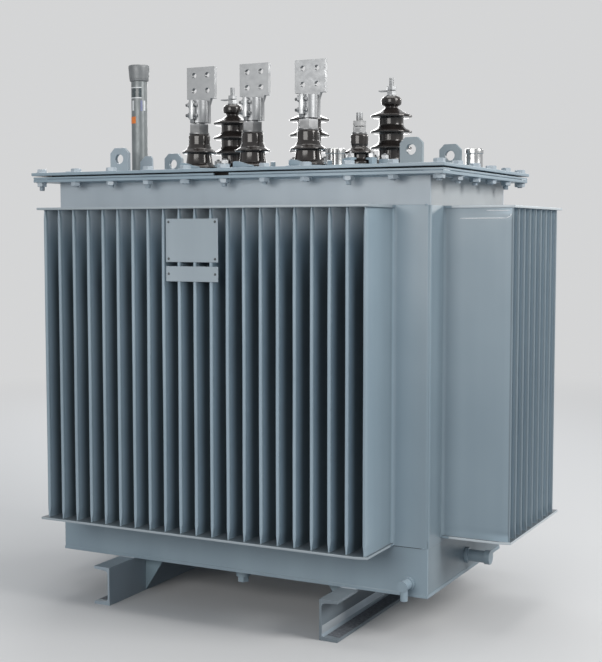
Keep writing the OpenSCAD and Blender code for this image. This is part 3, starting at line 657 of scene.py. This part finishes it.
def fin_half(z, height, share):
    """Half a fin's thickness at a share of its depth: pressed flat at both ends, most of all at its tip."""
    near_tip = max(0.0, (share - 0.55) / 0.45) ** 2
    swollen = min(max((min(z, height - z) - PINCH_H + TIP_RISE * near_tip) / SWELL_H, 0.0), 1.0)
    swollen = 0.6 * swollen + 0.4 * swollen * swollen * (3 - 2 * swollen)
    flat = ROOT_FLAT_HALF + (FIN_FLAT_HALF - ROOT_FLAT_HALF) * near_tip
    return flat + (FIN_HALF - flat) * swollen


def fin_section(u0, z, height, reach):
    """Plan of one folded fin at the height z: root fillets, flanks and a round tip."""
    side = []
    root = fin_half(z, height, 0)
    for angle in quarter(6):
        side.append((root + ROOT_FILLET * (1 - math.sin(angle)), SHEET_T + ROOT_FILLET * (1 - math.cos(angle))))
    for share in (0.3, 0.55, 0.75, 0.88):
        side.append((fin_half(z, height, share), share * reach))
    tip = fin_half(z, height, 1)
    for angle in quarter(5)[1:]:
        side.append((tip * math.cos(angle), reach - tip + tip * math.sin(angle)))
    outline = [(-u, v) for u, v in side[:-1]] + [(u, v) for u, v in reversed(side)]
    outline = [(-side[0][0], 0.5 * SHEET_T)] + outline + [(side[0][0], 0.5 * SHEET_T)]
    points = []
    for u, v in outline:
        wave = 0.9 * MM * noise.noise(Vector((u0 * 31, v * 5, z * 3.1))) * min(1.0, v / (0.6 * reach))
        points.append(Vector((u0 + u + wave, -v, z)))
    return points


def edge_outline(span, shift, outer, far_lip, cut, side):
    """Plan of an edge plate past its outer fins: its corner on one side is cut by two legs, the other square."""
    near = side * (span / 2 + FIN_HALF + SIDE_LIP) - shift
    far = -side * (span / 2 + FIN_HALF + far_lip) - shift
    return [(far, 0), (far, -outer), (near - side * cut[0], -outer), (near, cut[1] - outer), (near, 0)]


def fin_wall(name, fins, shift, turn, wraps, rise, lip, far_lip, cut, side):
    """One corrugated wall: its sheet, its folded fins and both edge plates, turned about Z."""
    low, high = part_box(name)
    height = high.z - low.z
    along, across = (0, 1) if abs(math.cos(turn)) > 0.5 else (1, 0)
    half = (high[along] - low[along]) / 2
    inner, outer = sorted((abs(low[across]), abs(high[across])))
    reach = outer - inner - lip
    place = Matrix.Rotation(turn, 4, "Z") @ Matrix.Translation((0, -inner, low.z))
    bm = bmesh.new()
    if wraps:
        corner = [(half - TANK_CORNER_R + TANK_CORNER_R * math.sin(a), TANK_CORNER_R - SHEET_T
                   - TANK_CORNER_R * math.cos(a)) for a in quarter(6)]
        inside = [(half - SHEET_T, TANK_CORNER_R - SHEET_T), (half - SHEET_T, 0)]
        right = corner + inside
        sheet = right + [(-u, v) for u, v in reversed(right)]
    else:
        stop = half + SHEET_T - TANK_CORNER_R
        sheet = [(-stop, 0), (-stop, -SHEET_T), (stop, -SHEET_T), (stop, 0)]
    add_prism(bm, sheet, 0, height, 0.4 * MM)
    span = (fins - 1) * FIN_PITCH
    fin_h = height - rise
    lift = Vector((0, 0, rise))
    plate = edge_outline(span, shift, reach + lip, far_lip, cut, side)
    for z in (rise, height - EDGE_T):
        add_prism(bm, plate, z, z + EDGE_T, 1.1 * MM)
    for i in range(fins):
        u0 = i * FIN_PITCH - span / 2 - shift
        add_rings(bm, [[point + lift for point in fin_section(u0, z, fin_h, reach)] for z in fin_levels(fin_h)])
        for z in (rise + EDGE_T, height - EDGE_T):
            for flank in (-1, 1):
                u = u0 + flank * FIN_FLAT_HALF
                add_bead(bm, (u, -reach * 0.3, z), (u, -reach, z), 1.6 * MM)
    bmesh.ops.transform(bm, matrix=place, verts=bm.verts)
    piece = finish_piece(name.replace("panel", "wall"), bm, LONG_PAINT_WITH_PAINTED_LIGHT if wraps else END_PAINT_WITH_PAINTED_LIGHT)
    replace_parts(piece, name)


LONG_WALL = (True, 0, LONG_LIP, LONG_FAR_LIP, (CUT_LONG, CUT_SHORT), 1)
END_WALL = (False, END_RISE, END_LIP, END_FAR_LIP, (CUT_SHORT, CUT_LONG))
fin_wall("front_fin_panel", LONG_FINS, LONG_FIN_SHIFT, 0, *LONG_WALL)
fin_wall("back_fin_panel", LONG_FINS, LONG_FIN_SHIFT, math.pi, *LONG_WALL)
fin_wall("right_fin_panel", END_FINS, 0, math.pi / 2, *END_WALL, -1)
fin_wall("left_fin_panel", END_FINS, 0, -math.pi / 2, *END_WALL, 1)


# Creases near the tops of the ends' outer fins: share of the fin's depth, and millimetres below its top

CREASE_PATHS = ([(0.24, 30.5), (0.90, 30), (0.955, 26), (0.965, 20)], [(0.62, 12), (0.955, 13)])
TIP_SHARE = 0.95
TIP_INSET = 0.7 * MM


def creases():
    """Thin bright beads on the outer faces of the ends' first and last fins."""
    bm = bmesh.new()
    outer = (END_FINS - 1) * FIN_PITCH / 2 + FIN_HALF - 0.25 * MM
    for name, end in (("right_fin_panel", 1), ("left_fin_panel", -1)):
        low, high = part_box(name)
        sheet, tip = sorted((abs(low.x), abs(high.x)))
        depth = tip - END_LIP - sheet
        for side in (-1, 1):
            for path in CREASE_PATHS:
                points = []
                for share, drop in path:
                    inset = TIP_INSET if share > TIP_SHARE else 0
                    points.append((end * (sheet + share * depth), side * (outer - inset), high.z - drop * MM))
                for a, b in zip(points, points[1:]):
                    add_bead(bm, a, b, 1.2 * MM, 8 * MM)
    finish_piece("fin_creases", bm, CREASE)


creases()


# Cover bolts

def bolt_places():
    """Places of the cover bolts: along both long edges, and along the ends between them."""
    _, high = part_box("cover_plate")
    x, y = high.x - BOLT_INSET, high.y - BOLT_INSET
    rows = [(-x + 2 * x * i / (LONG_BOLTS - 1), side * y) for i in range(LONG_BOLTS) for side in (-1, 1)]
    rows += [(side * x, -y + 2 * y * i / (END_BOLTS - 1)) for i in range(1, END_BOLTS - 1) for side in (-1, 1)]
    return rows


def cover_bolts():
    """Heads on the cover, and nuts with uneven thread ends under the flange."""
    cover_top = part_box("cover_gasket")[1].z + COVER_T
    flange_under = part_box("tank_flange")[0].z
    heads, nuts = bmesh.new(), bmesh.new()
    under = Matrix.Rotation(math.pi, 4, "X")
    for index, (x, y) in enumerate(bolt_places()):
        turn = 0.7 + 1.9 * index
        top = about(x, y, cover_top, turn)
        add_washer(heads, top, WASHER_D, WASHER_T)
        add_hexagon(heads, top @ up(WASHER_T), BOLT_AF, BOLT_HEAD_H)
        bottom = about(x, y, flange_under, turn) @ under
        add_washer(nuts, bottom, WASHER_D, WASHER_T)
        add_hexagon(nuts, bottom @ up(WASHER_T), BOLT_AF, BOLT_NUT_H)
        end = BOLT_END_SHORT + BOLT_END_SPREAD * abs(math.cos(5.3 * index)) ** 3
        add_thread(nuts, bottom @ up(WASHER_T + BOLT_NUT_H), BOLT_D, end, BOLT_THREAD_PITCH)
    finish_piece("cover_bolt_heads", heads, BAND_PAINTED_LIGHT)
    finish_piece("cover_bolt_nuts", nuts, BAND_PAINTED_LIGHT)


cover_bolts()


# Rivets of the bare plates

def rivets():
    """Domed rivets: four on the rating plate, and two on the plate below it."""
    bm = bmesh.new()
    radius, rise, inset = 3.2 * MM, 1.8 * MM, 8 * MM
    dome = [(radius * math.cos(a), rise * math.sin(a)) for a in (0, 0.4, 0.8, 1.2, 1.5)]
    for name, rows in (("rating_plate", (-1, 1)), ("lower_plate", (0,))):
        low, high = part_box(name)
        middle = (low + high) / 2
        for side in (-1, 1):
            for row in rows:
                x = middle.x + side * ((high.x - low.x) / 2 - inset)
                z = middle.z + row * ((high.z - low.z) / 2 - inset)
                add_lathe(bm, about(x, low.y, z) @ STAND, dome, 16)
    finish_piece("plate_rivets", bm, RIVET)


rivets()


# Porcelains: radius, height above the seat and rounding of each corner of their profiles, in millimetres

LV_PORCELAIN = [(14.3, -45, 0), (28, -45, 2), (28, 0, 0), (44, 0, 0.8), (44, 4, 3), (35, 14, 10), (31.5, 39.5, 3),
                (44.4, 40.4, 0.8), (46, 42, 1), (45.6, 44, 1), (33, 52, 9), (28, 63, 8), (28, 90, 6), (14.3, 90, 0)]
NEUTRAL_PORCELAIN = [(8.3, -45, 0), (19.8, -45, 2), (19.8, 0, 0), (31, 0, 0.8), (31, 6, 3), (24, 14, 6),
                     (23.6, 26, 3), (35.6, 26.6, 0.8), (37, 28.5, 1), (36.6, 31, 1), (24, 38, 6), (19, 44, 4),
                     (21.5, 50, 3), (22, 75, 6), (8.3, 75, 0)]
HV_PORCELAIN = [(6.3, -45, 0), (28, -45, 2), (28, 0, 0), (44, 0, 0.8), (44, 20, 5), (33, 30, 7),
                (33, 57, 4), (54.6, 57.8, 0.9), (56.5, 60, 1.2), (55.6, 63, 1.4), (38, 72, 10), (33, 80, 8),
                (33, 100, 4), (54.6, 100.8, 0.9), (56.5, 103, 1.2), (55.6, 106, 1.4), (38, 115, 10), (33, 123, 8),
                (33, 142, 4), (54.6, 142.8, 0.9), (56.5, 145, 1.2), (55.6, 148.5, 1.6), (33, 158, 14),
                (17.5, 168, 7), (17.5, 172, 3), (26.4, 177, 4), (27.5, 183, 3), (27.5, 193, 7), (20, 200, 6),
                (6.3, 200, 0)]


def seat_of(name, corners):
    """Middle and level of the seat that a bushing stands on."""
    x, y, _, high = axis_of(name)
    return x, y, high - corners[-1][1] * MM


def porcelain(name, corners):
    """A turned porcelain that stands for its plain solid."""
    bm = bmesh.new()
    add_lathe(bm, about(*seat_of(name, corners)), rounded(corners), 72)
    piece = finish_piece(name.replace("bushing", "porcelain"), bm, PORCELAIN)
    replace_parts(piece, name)


for phase in "abc":
    porcelain("lv_bushing_" + phase, LV_PORCELAIN)
    porcelain("hv_bushing_" + phase, HV_PORCELAIN)
porcelain("neutral_bushing", NEUTRAL_PORCELAIN)


# Claws that hold the porcelains down

# Outline of a cast shoe beside a low-voltage foot in millimetres, and the radii between which it lies
SHOE = [(-26, 0), (-26, 12.5), (-21, 14), (-9, 13.5), (2, 10), (14, 6), (29, 3.5), (29, 0)]
SHOE_RADII = (46 * MM, 58 * MM)
SHOE_TURN = 2.1
# Radius and height of the foot under a claw, and widths of the claw and its nut
HV_CLAW = (44 * MM, 24 * MM, 26 * MM, 18 * MM)
NEUTRAL_CLAW = (31 * MM, 11 * MM, 20 * MM, 16 * MM)
CLAW_WASHER_T = 1.6 * MM


def add_claw(bm, nuts, place, foot_r, foot_h, width, nut_af):
    """A bent claw from the seat over a porcelain's foot, with its stud and nut."""
    toe, heel, t = foot_r - 5 * MM, foot_r + 15 * MM, 5 * MM
    post = foot_r + 5 * MM
    outline = [(post, 0), (heel, 0), (heel, foot_h + t), (toe, foot_h + t), (toe, foot_h), (post, foot_h)]
    add_prism(bm, outline, -width / 2, width / 2, 0.8 * MM, place @ STAND)
    top = place @ about(foot_r + 4 * MM, 0, foot_h + t)
    nut_h = 0.55 * nut_af
    add_washer(nuts, top, 1.2 * nut_af, CLAW_WASHER_T)
    add_hexagon(nuts, top @ up(CLAW_WASHER_T), nut_af, nut_h)
    add_thread(nuts, top @ up(CLAW_WASHER_T + nut_h), 0.58 * nut_af, 4 * MM, 1.4 * MM)


def claws():
    """Three shoes around each low-voltage foot, and four claws around each of the other feet."""
    painted, nuts = bmesh.new(), bmesh.new()
    front = -math.pi / 2
    shoe = [(u * MM, v * MM) for u, v in SHOE]
    held = []
    for phase in "abc":
        seat = seat_of("lv_bushing_" + phase, LV_PORCELAIN)
        for k in range(3):
            add_prism(painted, shoe, *SHOE_RADII, 1 * MM, about(*seat, k * SHOE_TURN) @ STAND)
        held.append((seat_of("hv_bushing_" + phase, HV_PORCELAIN), front + 0.05, HV_CLAW))
    held.append((seat_of("neutral_bushing", NEUTRAL_PORCELAIN), front - 0.2, NEUTRAL_CLAW))
    for seat, turn, claw in held:
        for k in range(4):
            add_claw(painted, nuts, about(*seat, turn + k * math.pi / 2), *claw)
    finish_piece("porcelain_claws", painted, TANK_PAINT)
    finish_piece("claw_nuts", nuts, ZINC)


claws()


# Bolts of the terminal clamps, and threads of the studs

# In millimetres: the bolts' heights above the porcelain, half the ears' width, and the bolts' reach forward
CLAMP_BOLT_Z = (48, 75)
CLAMP_EAR_HALF = 6.5
CLAMP_BOLT_Y = 30
CLAMP_WASHER_T = 1.5
# A bolt's two ends: side, washer, width across flats and height of its nut or head
CLAMP_BOLT_ENDS = ((-1, 15, 13, 6), (1, 11, 9, 2.5))
CLAMP_BAR = ((-6, -43, 36), (6, -36, 88))
# Each threaded stud, the length of thread that shows and the stud's diameter
STUD_THREADS = [("hv_stud_" + phase, 23, 12) for phase in "abc"] + [("neutral_stud", 20, 16)]


def clamp_bolts():
    """Two bolts through the ears of each low-voltage clamp, and the bar in front of them."""
    bm, bars = bmesh.new(), bmesh.new()
    for phase in "abc":
        x, y, _, high = axis_of("lv_bushing_" + phase)
        for rise in CLAMP_BOLT_Z:
            middle = about(x, y - CLAMP_BOLT_Y * MM, high + rise * MM)
            for side, washer, flats, head in CLAMP_BOLT_ENDS:
                ear = about(side * CLAMP_EAR_HALF * MM, 0, 0)
                out = middle @ ear @ Matrix.Rotation(side * math.pi / 2, 4, "Y")
                add_washer(bm, out, washer * MM, CLAMP_WASHER_T * MM)
                spin = Matrix.Rotation(0.4 + 1.3 * rise + side, 4, "Z")
                add_hexagon(bm, out @ up(CLAMP_WASHER_T * MM) @ spin, flats * MM, head * MM)
                if side < 0:
                    add_thread(bm, out @ up((CLAMP_WASHER_T + head) * MM), 8 * MM, 8 * MM, 1.25 * MM)
        add_box(bars, *(Vector((x, y, high)) + Vector(corner) * MM for corner in CLAMP_BAR), 2.4 * MM)
    finish_piece("clamp_bolts", bm, TINNED)
    finish_piece("clamp_bars", bars, ZINC)


def stud_threads():
    """Threads over the bare ends of the high-voltage and neutral studs."""
    bm = bmesh.new()
    for name, bare, diameter in STUD_THREADS:
        x, y, _, _ = axis_of(name.replace("stud", "bushing"))
        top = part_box(name)[1].z
        add_thread(bm, about(x, y, top - bare * MM), (diameter + 0.5) * MM, (bare + 0.3) * MM, 1.75 * MM)
    finish_piece("stud_threads", bm, TINNED)


clamp_bolts()
stud_threads()


# Oil gauge: turned cap, window and marks

def add_patch(bm, centre, radius, angles, levels, rise):
    """A curved patch on an upright tube, between two angles from -Y towards +X in degrees."""
    start, end = (math.radians(a) for a in angles)
    turns = [start + (end - start) * k / 10 for k in range(11)]
    arc = [(math.sin(a), -math.cos(a)) for a in turns]
    outline = [(u * (radius + rise), v * (radius + rise)) for u, v in arc]
    outline += [(u * (radius - MM), v * (radius - MM)) for u, v in reversed(arc)]
    add_prism(bm, outline, levels[0] * MM, levels[1] * MM, 0, about(*centre, 0))


# The cap's profile, and the marks' angles, levels and rise, in degrees and millimetres
GAUGE_CAP = [(0.1, 0, 0), (26, 0, 1.2), (27.1, 4.6, 0.3), (26.5, 5, 0.2), (26.5, 5.8, 0.2), (27.3, 6.2, 0.4),
             (30, 38, 4), (29.4, 45, 4.5), (0.1, 45, 0)]
GAUGE_MARKS = [
    ("gauge_window", WINDOW, [((-47, 50), (1347, 1373), 0.3)]),
    ("gauge_white_marks", MARK_WHITE, [((-48, 51), (1373, 1375.5), 0.6), ((-48, 51), (1344.5, 1347), 0.6),
                                       ((-25, -8), (1310, 1338), 0.3), ((67, 80), (1310, 1338), 0.3)]),
    ("gauge_blue_mark", MARK_BLUE, [((42, 57), (1309, 1338), 0.3)]),
    ("gauge_pointer", MARK_ORANGE, [((-52, 6), (1274, 1293), 0.5)]),
]


def gauge():
    """The gauge's turned cap, and the coloured patches on its tube."""
    x, y, low, _ = axis_of("gauge_cap")
    bm = bmesh.new()
    add_lathe(bm, about(x, y, low), rounded(GAUGE_CAP), 64)
    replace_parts(finish_piece("gauge_cap_turned", bm, CAP), "gauge_cap")
    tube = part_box("gauge_tube")
    radius = (tube[1].x - tube[0].x) / 2
    for name, material, patches in GAUGE_MARKS:
        bm = bmesh.new()
        for angles, levels, rise in patches:
            add_patch(bm, (x, y), radius, angles, levels, rise * MM)
        finish_piece(name, bm, material)


gauge()


# Turned caps on the cover

def round_cap(name):
    """A bright cap with a foot ring and a wider head."""
    low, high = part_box(name)
    x, y, _, _ = axis_of(name)
    foot = (high.x - low.x) / 2 / MM
    body, h = foot - 5, (high.z - low.z) / MM
    bm = bmesh.new()
    add_lathe(bm, about(x, y, low.z), rounded([
        (0.1, 0, 0), (foot, 0, 0.5), (foot, 6.5, 1.5), (body + 0.5, 8, 1.5), (body, h - 15, 1),
        (body + 2, h - 13.5, 0.8), (body + 2, h - 2, 2.5), (body - 3, h, 4), (0.1, h, 0)]), 64)
    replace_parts(finish_piece(name + "_turned", bm, BRIGHT), name)


round_cap("tap_changer_cap")
round_cap("relief_valve")


# Weld beads and seams

LONG_RIPPLE = 5 * MM
# Distance from the middle of the beads above the long sheets, and of the painted shadow of the open joints under
# them
SHEET_BEAD_Y = 270.8 * MM
SHEET_SEAM_Y = (270.7 * MM, 269 * MM)
# Length and inset of the beads in the corners of the groove between flange and cover
GROOVE_BEAD = 48 * MM
GROOVE_INSET = 1.5 * MM
# Places of the beads along a skid's top, and their length
SKID_BEAD_Y = (-250 * MM, -60 * MM, 130 * MM)
SKID_BEAD = 120 * MM
# Length of the dark strip on a skid's lower flange, from the middle
FLANGE_DARK_REACH = 368 * MM


def tank_welds():
    """Beads around the tank, at the lugs and the gauge's bracket, on the long sheets and in the cover's groove."""
    bm = bmesh.new()
    low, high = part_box("upper_long_bands")
    corners = [(low.x, low.y), (high.x, low.y), (high.x, high.y), (low.x, high.y)]
    for level, radius in ((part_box("tank_flange")[0].z, 3 * MM), (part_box("base_plate")[1].z, 1.2 * MM)):
        for a, b in zip(corners, corners[1:] + corners[:1]):
            add_bead(bm, (*a, level), (*b, level), radius, LONG_RIPPLE)
    for name in ("front_left_lug", "front_right_lug", "back_left_lug", "back_right_lug", "gauge_bracket"):
        low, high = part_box(name)
        for y in (low.y, high.y):
            add_bead(bm, (low.x, y, low.z), (high.x, y, low.z), 3 * MM)
        for x in (low.x, high.x):
            add_bead(bm, (x, low.y, low.z), (x, high.y, low.z), 2.6 * MM)
    low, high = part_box("front_fin_panel")
    for side in (-1, 1):
        y = side * SHEET_BEAD_Y
        add_bead(bm, (low.x + 10 * MM, y, high.z), (high.x - 10 * MM, y, high.z), 1.7 * MM, LONG_RIPPLE)
        for x in (low.x + 12 * MM, high.x - 12 * MM):
            for z in (low.z, high.z):
                add_bead(bm, (x - 4 * MM, y - side * MM, z), (x + 4 * MM, y - side * MM, z), 3.4 * MM)
    low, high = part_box("tank_flange")
    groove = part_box("cover_gasket")[0].z + 0.7 * MM
    for x in (low.x, high.x):
        for y in (low.y, high.y):
            inward = (-math.copysign(1, x), -math.copysign(1, y))
            edge = Vector((x + inward[0] * GROOVE_INSET, y + inward[1] * GROOVE_INSET, groove))
            for run in ((inward[0] * GROOVE_BEAD, 0, 0), (0, inward[1] * GROOVE_BEAD, 0)):
                add_bead(bm, edge, edge + Vector(run), 1.9 * MM)
    finish_piece("tank_welds", bm, TANK_PAINT)


def skid_welds():
    """Beads between the skids and the base plate."""
    bm = bmesh.new()
    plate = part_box("base_plate")
    for name in ("left_skid", "right_skid"):
        low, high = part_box(name)
        for x in (low.x, high.x):
            for start in SKID_BEAD_Y:
                add_bead(bm, (x, start, high.z), (x, start + SKID_BEAD, high.z), 3 * MM)
        for corner in plate:
            add_bead(bm, (low.x, corner.y, high.z), (high.x, corner.y, high.z), 3 * MM)
    finish_piece("skid_welds", bm, SKID_PAINT)


def skid_roots():
    """Rolled channels: rounded roots, a dark strip on the lower flanges and a band of painted light on the webs."""
    bm, flange_dark, web_light = bmesh.new(), bmesh.new(), bmesh.new()
    radius, web, root, toe = 7 * MM, 6 * MM, 10 * MM, 7 * MM
    for name, out in (("left_skid", -1), ("right_skid", 1)):
        low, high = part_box(name)
        x = (low.x if out > 0 else high.x) + out * web
        curve = [(radius * (1 - math.sin(a)), radius * (1 - math.cos(a))) for a in quarter(8)]
        for level, rise in ((root, 1), (high.z - root, -1)):
            outline = [(x - out * MM, level - rise * MM)] + [(x + out * u, level + rise * v) for u, v in curve]
            add_prism(bm, outline, low.y + 0.3 * MM, high.y - 0.3 * MM, 0, STAND)
        inner, outer = x + out * radius * 0.7, (high.x if out > 0 else low.x) - out * 2 * MM
        slope = (root - toe) / (high.x - low.x - web)
        # A dark strip along the top of each lower flange
        film = [(u, root - slope * abs(u - x) - 0.5 * MM) for u in (inner, outer)]
        film += [(u, v + 0.8 * MM) for u, v in reversed(film)]
        for side in (-1, 1):
            add_prism(flange_dark, film, *sorted((side * FLANGE_DARK_REACH, 0)), 0, STAND)
        # Painted light: a lit band low on each web, below the shadow of the base
        add_box(web_light, (x - 0.4 * MM, low.y + 3 * MM, root + 5 * MM),
                (x + 0.4 * MM, high.y - 3 * MM, root + 25 * MM), 0.1 * MM)
    finish_piece("skid_roots", bm, SKID_PAINT)
    finish_piece("skid_flange_dark", flange_dark, SKID_FLANGE_DARK)
    finish_piece("skid_gussets_and_web_painted_light", web_light, SKID_WEB_PAINTED_LIGHT)


def seams():
    """Dark strips under the lower edges of the folded sheets: painted shadow of the open joints there."""
    bm = bmesh.new()
    low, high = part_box("front_fin_panel")
    for side in (-1, 1):
        near, far = sorted(side * y for y in SHEET_SEAM_Y)
        add_box(bm, (low.x + 6 * MM, near, low.z - 1.8 * MM), (high.x - 18 * MM, far, low.z + 0.2 * MM), 0.2 * MM)
    finish_piece("sheet_seam_shadows", bm, SEAM_PAINTED_SHADOW)


tank_welds()
skid_welds()
skid_roots()
seams()


# Studio: pale floor, soft lights and the camera

BACKDROP = (0.66, 0.665, 0.67)
AMBIENT = (0.275, 0.305, 0.34)
FLOOR_LIT, FLOOR_SEEN = (0.24, 0.25, 0.265), (0.56, 0.565, 0.57)
FLOOR_HALF = 60
FLOOR_FADE = (1.2, 5.5)
WARM, WHITE = (1, 0.975, 0.945), (1, 1, 1)
# Name, place, aim, size, watts and colour of each lamp
LAMPS = [
    ("key", (-0.1, -3.9, 1.6), (0, 0, 0.8), (3.0, 1.4), 79, WARM),
    ("side", (3.8, -0.2, 2.6), (0.6, -0.1, 1.05), (1.8, 1.6), 128, WARM),
    ("top", (0, 0.2, 4.4), (0, 0, 1), (3.0, 3.0), 78, WARM),
    ("back", (-2.2, 3.8, 2.2), (0, 0, 0.8), (2.2, 2.2), 85, WHITE),
    ("rim", (2.15, 3.6, 2.15), (-0.1, -0.1, 1.3), (1.0, 0.6), 30, WARM),
]


def seen_rays(tree):
    """1 for rays from the camera, and for those that a mirror or glass sends on, and 0 for the rest."""
    rays = tree.nodes.new("ShaderNodeLightPath")
    total = rays.outputs["Is Camera Ray"]
    for kind in ("Is Glossy Ray", "Is Transmission Ray"):
        total = add_math("MAXIMUM", total, rays.outputs[kind])
    return total


def floor_material():
    """A pale floor that keeps the shadow near the object and runs into the backdrop far from it."""
    material, shader, place = new_material("studio_floor")
    tree = material.node_tree
    seen = seen_rays(tree)
    feed_all(shader, {"Base Color": add_mix(seen, FLOOR_LIT, FLOOR_SEEN), "Roughness": 0.9,
                      "Specular IOR Level": 0.1})
    distance = add_node("ShaderNodeVectorMath", {0: place})
    distance.operation = "LENGTH"
    far = add_span(distance.outputs["Value"], *FLOOR_FADE, shape="SMOOTHSTEP")
    glow = feed_all(tree.nodes.new("ShaderNodeEmission"), {"Color": BACKDROP})
    mix = add_node("ShaderNodeMixShader", {"Fac": product(far, seen), 1: shader.outputs["BSDF"],
                                           2: glow.outputs["Emission"]})
    feed(mix.outputs["Shader"], tree.nodes["Material Output"].inputs["Surface"])
    return material


def add_lamp(name, at, aim, size, watts, colour):
    """A soft area lamp that faces its aim."""
    light = bpy.data.lights.new(name, "AREA")
    light.color = colour
    light.shape = "RECTANGLE"
    light.size, light.size_y = size
    light.energy = watts
    lamp = bpy.data.objects.new(name, light)
    lamp.location = at
    lamp.rotation_euler = (Vector(aim) - Vector(at)).to_track_quat("-Z", "Y").to_euler()
    scene.collection.objects.link(lamp)


def studio():
    """Floor, world and lamps."""
    floor_mesh = bpy.data.meshes.new("floor")
    bm = bmesh.new()
    bmesh.ops.create_grid(bm, x_segments=1, y_segments=1, size=FLOOR_HALF)
    bm.to_mesh(floor_mesh)
    bm.free()
    floor = bpy.data.objects.new("floor", floor_mesh)
    scene.collection.objects.link(floor)
    floor_mesh.materials.append(floor_material())

    world = bpy.data.worlds.new("studio")
    world.use_nodes = True
    tree = world.node_tree
    ambient = feed_all(tree.nodes["Background"], {"Color": AMBIENT})
    backdrop = feed_all(tree.nodes.new("ShaderNodeBackground"), {"Color": BACKDROP})
    mix = add_node("ShaderNodeMixShader", {"Fac": seen_rays(tree), 1: ambient.outputs[0], 2: backdrop.outputs[0]})
    feed(mix.outputs[0], tree.nodes["World Output"].inputs["Surface"])
    scene.world = world

    for lamp in LAMPS:
        add_lamp(*lamp)


def camera():
    """The photograph's view."""
    data = bpy.data.cameras.new("camera")
    data.sensor_fit = "VERTICAL"
    data.sensor_height = SENSOR_H
    data.lens = FOCAL_PX * SENSOR_H / IMAGE_H
    view = bpy.data.objects.new("camera", data)
    view.location = CAMERA_AT
    view.rotation_euler = (math.radians(90 - CAMERA_PITCH_DOWN), 0, math.radians(CAMERA_YAW))
    scene.collection.objects.link(view)
    scene.camera = view


studio()
camera()
scene.view_settings.view_transform = "Standard"
